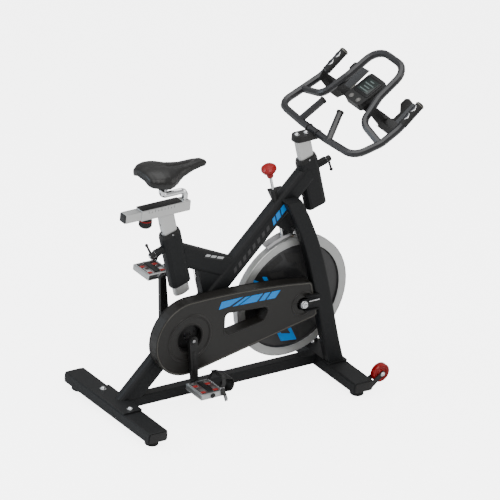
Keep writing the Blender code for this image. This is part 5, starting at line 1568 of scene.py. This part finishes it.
@dataclass
class Saddle(SubAssembly):
    """The padded cover with its groove, seams, bumper and clamp nuts.

    Attributes:
        falls: how far the top lies under its highest place, from rear to nose.
        widths: width along it.
        depths: depth of the flanks along it.
        groove: share of the groove's depth along it.
        groove_depth: depth of the centre groove.
        groove_width: half of its width.
        rows: cross-sections less one.
        edge: how far the cover lies inside the widths.
    """

    falls: Table = ((0.0, 0.014), (0.05, 0.0070), (0.10, 0.0020), (0.20, 0.0), (0.30, 0.0015), (0.45, 0.0085),
                    (0.62, 0.0115), (0.80, 0.0100), (0.92, 0.0125), (1.0, 0.0220))
    widths: Table = ((0.0, 0.104), (0.04, 0.126), (0.10, 0.148), (0.20, 0.163), (0.28, 0.165), (0.36, 0.146),
                     (0.45, 0.112), (0.54, 0.084), (0.62, 0.066), (0.72, 0.056), (0.80, 0.050), (0.94, 0.042),
                     (1.0, 0.024))
    depths: Table = ((0.0, 0.034), (0.05, 0.049), (0.10, 0.056), (0.28, 0.068), (0.45, 0.062), (0.62, 0.041),
                     (0.80, 0.030), (0.94, 0.022), (1.0, 0.010))
    groove: Table = ((0.0, 0.0), (0.12, 0.06), (0.34, 0.30), (0.46, 1.0), (0.76, 0.95), (0.86, 0.05), (1.0, 0.0))
    groove_depth: float = 0.0098
    groove_width: float = 0.0068
    rows: int = 56
    edge: float = 0.0022

    def build(self) -> None:
        """Make the saddle's pieces."""
        cover = swept([self._section(i / self.rows) for i in range(self.rows + 1)])
        piece = self.shop.add("saddle_cover", cover, SADDLE_SKIN, "saddle", "saddle_cover", subdivide=1,
                              replaces=("saddle",))
        self._seams()
        self._bumper()
        self._clamp_nuts()

    def _sizes(self, share: float) -> tuple[float, float, float, float]:
        """Return a section's x, half width, top and depth.

        Args:
            share: where it is, from 0 at the rear to 1 at the nose.

        Returns:
            The four sizes.
        """
        low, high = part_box("saddle")
        return (low.x + 0.0015 + (high.x - low.x - 0.0030) * share,
                read(self.widths, share) / 2 - self.edge * 0.4,
                high.z - read(self.falls, share) - 0.0012, read(self.depths, share))

    def _section(self, share: float) -> list[Vector]:
        """Return a closed section: crowned top with a groove, flanks that tuck in, hollow underneath.

        Args:
            share: where it is, from 0 at the rear to 1 at the nose.

        Returns:
            Places round it.
        """
        x, half, top, depth = self._sizes(share)
        groove = self.groove_depth * read(self.groove, share)
        ring = []
        for w in (0.0, 0.070, 0.14, 0.24, 0.36, 0.52, 0.68, 0.82, 0.92, 0.985, 1.0):
            crown = depth * 0.30 * w ** 2.4
            dip = groove * math.exp(-((half * w) / self.groove_width) ** 2)
            puff = 0.0012 * math.exp(-((w - 0.50) / 0.28) ** 2)
            fall = depth * 0.16 * max(0.0, (w - 0.90) / 0.10) ** 1.4
            ring.append((half * w, top - crown - dip + puff - fall))
        for w, fall in ((0.985, 0.66), (0.945, 0.82), (0.905, 0.90), (0.86, 0.915), (0.80, 0.90), (0.70, 0.84)):
            ring.append((half * w, top - depth * fall))
        under = top - min(depth * 0.62, 0.030)
        ring += [(half * 0.45, under), (0.0, under)]
        return ([Vector((x, y, z)) for y, z in ring]
                + [Vector((x, -y, z)) for y, z in reversed(ring[1:-1])])

    def _seams(self) -> None:
        """Add the sewn seam along both flanks."""
        for side, word in ((-1.0, "right"), (1.0, "left")):
            path = []
            for i in range(3, 55):
                x, half, top, depth = self._sizes(i / self.rows)
                path.append(Vector((x, side * (half + 0.0002), top - depth * 0.53)))
            self.shop.add(f"saddle_seam_{word}", tube(path, 0.0007, 8), THREAD, "saddle", "saddle_cover")

    def _bumper(self) -> None:
        """Add the bumper under the rear edge."""
        low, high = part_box("saddle")
        rear = Vector((low.x + 0.0030, 0.0, high.z - 0.0330))
        self.shop.add("saddle_bumper", block(rear - Vector((0.0022, 0.026, 0.0050)),
                                             rear + Vector((0.0050, 0.026, 0.0050)), 0.0020, 3), GLOSS_BLACK,
                      "saddle", "black_plastic")

    def _clamp_nuts(self) -> None:
        """Add the clamp's two nuts."""
        low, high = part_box("saddle_clamp")
        centre = (low + high) / 2
        for side, y, word in ((-1.0, low.y, "right"), (1.0, high.y, "left")):
            self.shop.add(f"saddle_clamp_nut_{word}",
                          lathe([(0.0, 0.0), (0.0078, 0.0), (0.0078, 0.0050), (0.0052, 0.0062), (0.0, 0.0062)],
                                Vector((centre.x, y, centre.z - 0.002)) + SIDE * side * LIFT, SIDE * side, 6),
                          PLAIN_STEEL, "saddle", "steel", bevel=0.0005)


@dataclass
class SeatSlider(SubAssembly):
    """The slider's cover, scale and caps, its knob, and the posts' ends and holes.

    Attributes:
        marks: lines of the scale.
        mark_pitch: spacing of the lines.
        knob_ribs: ribs round the knob.
        knob_radius: radius that the ribs lie on.
        knob_neck: height of the knob's ring under its top.
        post_length: how far the seat post reaches under its collar.
        hole_pitch: spacing of the posts' holes.
        half_post: how far a post's face is from its middle.
    """

    marks: int = 9
    mark_pitch: float = 0.0135
    knob_ribs: int = 16
    knob_radius: float = 0.0222
    knob_neck: float = 0.0130
    post_length: float = 0.2510
    hole_pitch: float = 0.032
    half_post: float = 0.0300

    def build(self) -> None:
        """Make the slider's pieces."""
        self._cover_and_scale()
        self._end_caps()
        self._knob()
        self._foot_cap()
        self._holes("seat", "seat_post", SEAT_COLLAR, -AHEAD, 0.026)
        self._holes("bar", "handlebar", BAR_COLLAR, AHEAD, 0.030)

    def _cover_and_scale(self) -> None:
        """Add the sleeve's top cover and the scale on its side."""
        low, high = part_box("slider_sleeve")
        half = (high.y - low.y) / 2
        cover = block(Vector((low.x - 0.0012, -half + 0.0015, high.z + LIFT)),
                      Vector((high.x - 0.036, half - 0.0015, high.z + 0.0030)), 0.0012, 3)
        self.shop.add("slider_cover", cover, MOULDING, "seat_post", "black_plastic")
        for k in range(self.marks):
            x = low.x + 0.028 + self.mark_pitch * k
            top = low.z + (0.036 if k % 2 == 0 else 0.032)
            self.shop.add(f"slider_scale_{k + 1}",
                          decal([(x, low.z + 0.026), (x + 0.0011, low.z + 0.026), (x + 0.0011, top), (x, top)],
                                low.y), GREY_INK, "seat_post", "chrome")

    def _end_caps(self) -> None:
        """Add the caps of the inner tube."""
        low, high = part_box("seat_slider")
        shape = rounded(high.y - low.y - 0.001, high.z - low.z - 0.001, 0.0035, 5)
        z = (low.z + high.z) / 2
        for word, x, depth, edge in (("rear", low.x - LIFT, -0.0040, 0.0012),
                                     ("front", high.x + LIFT, 0.0030, 0.0010)):
            self.shop.add(f"slider_cap_{word}", plate(shape, Vector((x, 0.0, z)), SIDE, RISE, depth, edge, 3),
                          MOULDING, "seat_slider", "black_plastic")

    def _knob(self) -> None:
        """Add the knob's ribs and its ring."""
        low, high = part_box("slider_knob")
        knob = (low + high) / 2
        ribs = []
        for k in range(self.knob_ribs):
            angle = 2 * math.pi * k / self.knob_ribs
            place = Vector((knob.x + self.knob_radius * math.cos(angle),
                            knob.y + self.knob_radius * math.sin(angle), low.z + 0.0050))
            ribs.append(tube([place, place + RISE * 0.0095, place + RISE * 0.0190], [0.0014, 0.0016, 0.0013], 8))
        self.shop.add("slider_knob_ribs", joined(*ribs), BLACK_RUBBER, "slider_knob", "rubber")
        self.shop.add("slider_knob_ring",
                      lathe([(0.0222, 0.0), (0.0222, 0.0030), (0.0231, 0.0026), (0.0231, 0.0004)],
                            Vector((knob.x, knob.y, high.z - self.knob_neck)), RISE, 48), RED_SATIN,
                      "slider_knob", "red_plastic")

    def _foot_cap(self) -> None:
        """Add the cap under the seat post."""
        foot = SEAT_COLLAR - UP * self.post_length
        section = [(0.0285 * math.cos(a) if abs(math.cos(a)) > 0.02 else 0.0, 0.0135 * math.sin(a))
                   for a in (2 * math.pi * k / 40 for k in range(40))]
        depth = 0.0040 if AHEAD.cross(SIDE).dot(-UP) > 0 else -0.0040
        self.shop.add("seat_post_foot_cap", plate(section, foot - UP * 0.0006, AHEAD, SIDE, depth, 0.0010, 2),
                      MOULDING, "seat_post", "black_plastic")

    def _holes(self, word: str, body: str, collar: Vector, facing: Vector, first: float) -> None:
        """Add the two pin holes on a post's back, as thin dark discs of painted shade.

        Args:
            word: which post.
            body: body that carries it.
            collar: top of the collar that it slides in.
            facing: direction that its back faces.
            first: how far the lower hole is over the collar.
        """
        film = 0.0001
        # the holes are not cut: dark film discs paint the shade inside them
        holes = [lathe([(0.0, 0.0), (0.0050, 0.0), (0.0050, film), (0.0, film)],
                       collar + UP * (first + self.hole_pitch * k) + facing * (self.half_post + film), facing, 24)
                 for k in range(2)]
        self.shop.add(f"{word}_post_hole_shade_discs", joined(*holes), DARK_PLASTIC_AND_PAINTED_SHADE, body, "chrome")


# ------------------------------------------------------------------ handlebar
BASE_BAR = Vector((0.2296, 0.0, 0.9570))
BAR_RADIUS = 0.0135
SLOPE = math.radians(29.5)
SLOPE_AHEAD = Vector((math.cos(SLOPE), 0.0, math.sin(SLOPE)))
SLOPE_UP = Vector((-math.sin(SLOPE), 0.0, math.cos(SLOPE)))
HOLDER_OUTLINE = ((0.3643, 1.0962), (0.3475, 1.0661), (0.3874, 1.0180), (0.3883, 1.0103), (0.4377, 0.9691),
                  (0.4720, 0.9760), (0.5250, 1.0300), (0.5381, 1.0639), (0.5145, 1.0915), (0.4974, 1.0953),
                  (0.4776, 1.0807), (0.4792, 1.0465), (0.4539, 1.0277), (0.4162, 1.0360))
HOLDER_SIDE = 0.1540         # how far a holder's cheek is from the middle


def on_bar(ahead: float, y: float, above: float) -> Vector:
    """Return a place relative to the middle of the base bar."""
    return BASE_BAR + Vector((ahead, y, above))


def side_path(side: float) -> list[Vector]:
    """Lay out the outer tube's middle line, from its free end inwards.

    Args:
        side: -1 on the right, 1 on the left.

    Returns:
        Places along the line.
    """
    points = [on_bar(0.277, 0.229 * side, 0.147), on_bar(0.190, 0.230 * side, 0.069),
              on_bar(0.118, 0.235 * side, 0.033), on_bar(0.014, 0.223 * side, 0.0),
              on_bar(0.0, 0.0705 * side, 0.0)]
    return softened(points, [0.10, 0.10, 0.052], 14)


def cut_path(path: Sequence[Vector], start: float, end: float, step: float = 0.004) -> list[Vector]:
    """Return the stretch of a path between two distances along it.

    Args:
        path: places.
        start: first distance.
        end: last distance.
        step: spacing of the result.

    Returns:
        Evenly spaced places.
    """
    out, wanted, gone = [], start, 0.0
    for a, b in zip(path, path[1:]):
        length = (b - a).length
        while wanted <= min(gone + length, end) + 1e-9:
            out.append(a + (b - a) * ((wanted - gone) / length))
            wanted += step
        gone += length
    return out


def grip(path: Sequence[Vector], radius: float, pitch: float = 0.0052) -> BMesh:
    """Return a grip with shallow rings and swollen ends.

    Args:
        path: places along the bar.
        radius: the grip's radius.
        pitch: distance between rings.

    Returns:
        A closed bmesh.
    """
    radii, gone = [], 0.0
    total = sum((b - a).length for a, b in zip(path, path[1:]))
    for i, place in enumerate(path):
        if i:
            gone += (place - path[i - 1]).length
        ends = max(math.exp(-gone / 0.004), math.exp(-(total - gone) / 0.004))
        wave = 0.00035 * math.cos(2 * math.pi * gone / pitch) * (1.0 - ends)
        radii.append(radius + wave + 0.0007 * ends)
    return tube(path, radii, 28)


def pulse_rings(path: Sequence[Vector], start: float, end: float, side: float, half: float,
                lean: float) -> list[list[Vector]]:
    """Return cross-sections of a curved plate that lies on a grip.

    Args:
        path: grip's middle line.
        start: where it begins along the grip.
        end: where it ends.
        side: 1 on the left, -1 on the right.
        half: half of the angle that it spans at its middle, in degrees.
        lean: angle of its middle from the top, outwards.

    Returns:
        Closed rings from one end to the other.
    """
    strip = cut_path(path, start, end, 0.0030)
    outward = Vector((0.0, side, 0.0))
    rings = []
    for i, place in enumerate(strip):
        along = (strip[min(i + 1, len(strip) - 1)] - strip[max(i - 1, 0)]).normalized()
        across = (outward - along * along.dot(outward)).normalized()
        over = along.cross(across)
        over = -over if over.z < 0 else over
        bulge = 0.25 + 0.75 * math.sin(math.pi * i / (len(strip) - 1))
        ring = []
        for radius, order in ((0.0166, 1), (0.0148, -1)):
            turns = [math.radians(lean * bulge + half * bulge * (k / 4 - 1)) for k in range(9)][::order]
            ring += [place + across * math.sin(turn) * radius + over * math.cos(turn) * radius for turn in turns]
        rings.append(ring)
    return rings


@dataclass
class Handlebar(SubAssembly):
    """The grips with their pulse plates, the end caps, the stem's bolts and the clamp.

    Attributes:
        grip_run: where a grip begins and ends along the bar.
        plate_runs: where each pulse plate begins and ends.
        plate_half: half of the angle that a plate spans, in degrees.
        edge_lean: lean of the bright chrome strips near a plate's edges that paint its highlight lines, in degrees.
        edge_half: half of the angle that such a painted highlight strip spans.
        bolt_places: x of the stem's bolts.
        clamp_start: how far the clamp's rings are from the middle.
    """

    grip_run: tuple[float, float] = (0.004, 0.094)
    plate_runs: tuple[tuple[float, float], ...] = ((0.012, 0.044), (0.048, 0.080))
    plate_half: float = 28.0
    edge_lean: float = 31.0
    edge_half: float = 5.0
    bolt_places: tuple[float, ...] = (0.1580, 0.1970)
    clamp_start: float = 0.0245

    def build(self) -> None:
        """Make the handlebar's pieces."""
        for side, word in ((-1.0, "right"), (1.0, "left")):
            self._grip(side, word)
            self._pulse_plates(side, word)
            self._stub_cap(side, word)
        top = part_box("stem_plate")[1].z
        for k, x in enumerate(self.bolt_places):
            dome_bolt(self.shop, f"stem_bolt_{k + 1}", Vector((x, 0.0, top)), RISE, 0.0074, "handlebar")
        for side, word in ((-1.0, "right"), (1.0, "left")):
            ring = [BASE_BAR + SIDE * side * (self.clamp_start + 0.001 * i) for i in range(5)]
            self.shop.add(f"bar_clamp_ring_{word}", tube(ring, [0.0150, 0.0158, 0.0158, 0.0158, 0.0150], 28),
                          ARM_COAT, "handlebar", "arm_paint")

    def _grip(self, side: float, word: str) -> None:
        """Add a grip, its end cap and the ring between them.

        Args:
            side: -1 on the right, 1 on the left.
            word: the side's name.
        """
        path = side_path(side)
        out = (path[0] - path[1]).normalized()
        self.shop.add(f"bar_grip_{word}", grip(cut_path(path, *self.grip_run, 0.0013), BAR_RADIUS + 0.0016),
                      BLACK_RUBBER, "handlebar", "rubber")
        self.shop.add(f"bar_cap_{word}",
                      lathe([(0.0, -0.0040), (0.0155, -0.0040), (0.0152, -0.0008), (0.0128, 0.0026),
                             (0.0085, 0.0044), (0.0, 0.0048)], path[0] + out * 0.0008, out, 32), GLOSS_BLACK,
                      "handlebar", "black_plastic")
        self.shop.add(f"grip_ring_{word}",
                      lathe([(0.0140, 0.0), (0.0166, 0.0), (0.0172, 0.0012), (0.0166, 0.0026), (0.0140, 0.0026)],
                            path[0] - out * 0.0040, out, 36), PALE_EDGE, "handlebar", "black_plastic")

    def _pulse_plates(self, side: float, word: str) -> None:
        """Add a grip's two pulse plates, dark for a painted reflection, with bright strips as painted highlights.

        Args:
            side: -1 on the right, 1 on the left.
            word: the side's name.
        """
        path = side_path(side)
        for k, (start, end) in enumerate(self.plate_runs):
            self.shop.add(f"pulse_plate_{word}_{k + 1}",
                          swept(pulse_rings(path, start, end, side, self.plate_half, 0.0)), CHROME_PAINTED_DARK_REFLECTION,
                          "handlebar", "chrome")
            # the inner and outer strips are bright chrome laid on each plate as painted highlight lines
            for edge, lean in (("inner", -self.edge_lean), ("outer", self.edge_lean)):
                self.shop.add(f"pulse_edge_{word}_{k + 1}_{edge}",
                              swept(pulse_rings(path, start, end, side, self.edge_half, lean)), BRIGHT_CHROME,
                              "handlebar", "chrome")

    def _stub_cap(self, side: float, word: str) -> None:
        """Add the cap of a short inner bar.

        Args:
            side: -1 on the right, 1 on the left.
            word: the side's name.
        """
        start, end = on_bar(0.0, side * 0.08695, 0.0), on_bar(0.0695, side * 0.050525, 0.083)
        axis = (end - start).normalized()
        self.shop.add(f"stub_cap_{word}",
                      lathe([(0.0, -0.0060), (0.0138, -0.0060), (0.0134, 0.0004), (0.0105, 0.0024), (0.0, 0.0030)],
                            end + axis * 0.0006, axis, 28), MOULDING, "handlebar", "black_plastic")


@dataclass
class Console(SubAssembly):
    """The console's screen, bars, button collars and side pads.

    Attributes:
        low: place under the console's rear edge.
        overhang: how far the console begins before it.
        top: console's thickness.
        half_width: half of its width.
        button_along: how far the buttons are from its rear edge.
        button_side: how far they are from the middle.
        bars: place and width of each bar on the screen.
    """

    low: Vector = Vector((0.4061, 0.0, 1.0230))
    overhang: float = 0.014
    top: float = 0.030
    half_width: float = 0.047
    button_along: float = 0.018
    button_side: float = 0.020
    bars: tuple[tuple[float, float], ...] = ((0.061, 0.046), (0.074, 0.030), (0.087, 0.046), (0.100, 0.022))

    def build(self) -> None:
        """Make the console's pieces and the holder's on each side."""
        self._screen()
        for side, word in ((-1.0, "right"), (1.0, "left")):
            self._sides(side, word)
            self._holder(side, word)

    def _place(self, along: float, y: float, above: float = 0.0) -> Vector:
        """Return a place on the console's face.

        Args:
            along: distance from its rear edge.
            y: sideways place.
            above: height over the face.

        Returns:
            The place.
        """
        start = self.low - SLOPE_AHEAD * self.overhang
        return start + SLOPE_AHEAD * along + SIDE * y + SLOPE_UP * (self.top + above)

    def _screen(self) -> None:
        """Add the bezel, the screen and its bars."""
        self.shop.add("console_bezel", plate(rounded(0.0780, 0.0800, 0.0080, 6), self._place(0.079, 0.0, LIFT),
                                             SLOPE_AHEAD, SIDE, 0.0016, 0.0007, 3), GLOSS_BLACK, "handlebar",
                      "black_plastic")
        self.shop.add("console_screen", plate(rounded(0.0600, 0.0640, 0.0030, 5),
                                              self._place(0.081, 0.0, LIFT * 2 + 0.0016), SLOPE_AHEAD, SIDE,
                                              0.0010, 0.0004, 2), SCREEN, "handlebar", "black_plastic")
        bars = [plate(rounded(0.0045, width, 0.0010, 3), self._place(along, 0.0, LIFT * 3 + 0.0026),
                      SLOPE_AHEAD, SIDE, 0.0002) for along, width in self.bars]
        self.shop.add("console_bars", joined(*bars), SCREEN_BARS, "handlebar", "black_plastic")

    def _sides(self, side: float, word: str) -> None:
        """Add a button's collar and a side pad.

        Args:
            side: -1 on the right, 1 on the left.
            word: the side's name.
        """
        self.shop.add(f"button_collar_{word}",
                      lathe([(0.0068, 0.0), (0.0068, 0.0012), (0.0084, 0.0012), (0.0094, 0.0)],
                            self._place(self.button_along, side * self.button_side, LIFT), SLOPE_UP, 36),
                      BUTTON_GREY, "handlebar", "black_plastic")
        start = self.low - SLOPE_AHEAD * self.overhang
        place = start + SLOPE_AHEAD * 0.065 + SLOPE_UP * 0.017 + SIDE * side * (self.half_width + LIFT)
        self.shop.add(f"console_side_{word}",
                      plate(rounded(0.100, 0.0100, 0.0040, 5), place, SLOPE_AHEAD, SLOPE_UP, -side * 0.0016,
                            0.0007, 2), BLACK_RUBBER, "handlebar", "rubber")

    def _holder(self, side: float, word: str) -> None:
        """Add a holder's upright cheek and its folded lip.

        Args:
            side: -1 on the right, 1 on the left.
            word: the side's name.
        """
        self.shop.add(f"holder_cheek_{word}",
                      plate(HOLDER_OUTLINE, Vector((0.0, side * HOLDER_SIDE + 0.0012, 0.0)), FORWARDS, RISE,
                            0.0024, 0.0006, 2), MOULDING, "handlebar", "black_plastic")
        self.shop.add(f"holder_lip_{word}",
                      plate(rounded(0.0620, 0.0150, 0.0020, 4),
                            Vector((0.4140, side * HOLDER_SIDE + 0.0090, 0.9880)),
                            Vector((0.7700, 0.0, -0.6380)), SIDE, 0.0014, 0.0005, 2), PALE_EDGE, "handlebar",
                      "black_plastic")


@dataclass
class HolderTrays(SubAssembly):
    """The flat bar under the console and the holders' two folded panels.

    Attributes:
        outline: half of the bar's outline in its sloping plane.
        thickness: the bar's thickness.
        tray_place: a place in the panels' plane.
        tray_slope: slope of that plane in degrees.
        tray_corners: the left panel's corners.
        tray_shift: how far the right panel is from the left one.
        tray_thickness: a panel's thickness.
    """

    outline: tuple[tuple[float, float], ...] = ((0.0, 0.0500), (0.0060, 0.1180), (0.0060, 0.2145),
                                                (0.0340, 0.2145), (0.0360, 0.1287), (0.0360, 0.0500))
    thickness: float = 0.0030
    tray_place: Vector = Vector((0.4430, 0.0, 1.0367))
    tray_slope: float = 39.5
    tray_corners: tuple[tuple[float, float], ...] = ((0.0838, 0.1230), (0.0880, 0.0800), (-0.0089, 0.0850),
                                                     (-0.0049, 0.1228))
    tray_shift: float = -2 * HOLDER_SIDE
    tray_thickness: float = 0.0016

    def build(self) -> None:
        """Make the bar and the two panels."""
        outline = [(a, -y) for a, y in self.outline] + list(self.outline[::-1])
        start = on_bar(0.176, 0.0, 0.062) - SLOPE_UP * self.thickness
        self.shop.add("console_bar", plate(outline, start, SLOPE_AHEAD, SIDE, self.thickness, 0.0006, 2),
                      MOULDING, "handlebar", "black_plastic", replaces=("console_bracket",))
        slope = math.radians(self.tray_slope)
        ahead = Vector((math.cos(slope), 0.0, math.sin(slope)))
        rise = ahead.cross(SIDE) * self.tray_thickness
        for word, shift in (("left", 0.0), ("right", self.tray_shift)):
            corners = [(a, y + shift) for a, y in self.tray_corners]
            self.shop.add(f"tray_panel_{word}", plate(corners[::-1], self.tray_place, ahead, SIDE,
                                                      self.tray_thickness, 0.0005, 2), HOLDER_GREY, "handlebar",
                          "black_plastic")
            first, last = (self.tray_place + ahead * a + SIDE * y + rise for a, y in corners[1:3])
            self.shop.add(f"tray_hem_{word}", tube([first.lerp(last, i / 12) for i in range(13)], 0.0015, 12),
                          PALE_EDGE, "handlebar", "black_plastic")


@dataclass
class LockLevers(SubAssembly):
    """The centre screws and washers of both locking levers.

    Attributes:
        drop: how far a lever's axis is under its collar.
        reach: how far its hub's end is from the post's middle.
    """

    drop: float = 0.045
    reach: float = 0.0740

    def build(self) -> None:
        """Make both levers' pieces."""
        for name, along, collar in (("seat_lock_lever", -AHEAD, SEAT_COLLAR), ("bar_lock_lever", AHEAD, BAR_COLLAR)):
            far = max((v.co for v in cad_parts[name].data.vertices), key=lambda p: p.dot(along))
            axis = collar - UP * self.drop
            end = axis + along * (far - axis).dot(along)
            self.shop.add(f"{name}_screw", cap_screw(end + along * LIFT, along, 0.0050, 0.0028), BRIGHT_CHROME,
                          name, "steel")
            self.shop.add(f"{name}_washer",
                          lathe([(0.0066, 0.0), (0.0066, 0.0010), (0.0118, 0.0010), (0.0118, 0.0)],
                                axis + along * (self.reach + LIFT), along, 32), BRIGHT_CHROME, name, "steel")


SECTIONS: tuple[type[SubAssembly], ...] = (ChainGuard, Flywheel, CranksAndPedals, FramePaint, FrameHardware,
                                           Brake, Saddle, SeatSlider, Handlebar, Console, HolderTrays,
                                           LockLevers)


def main() -> None:
    """Build the whole machine's looks."""
    logging.basicConfig(level=logging.INFO)
    Studio().build()
    finish_nodes()
    shop = Workshop()
    for section in SECTIONS:
        section(shop).build()
    LOG.info("%d pieces made", len(shop.made))


if __name__ == "__main__":
    main()
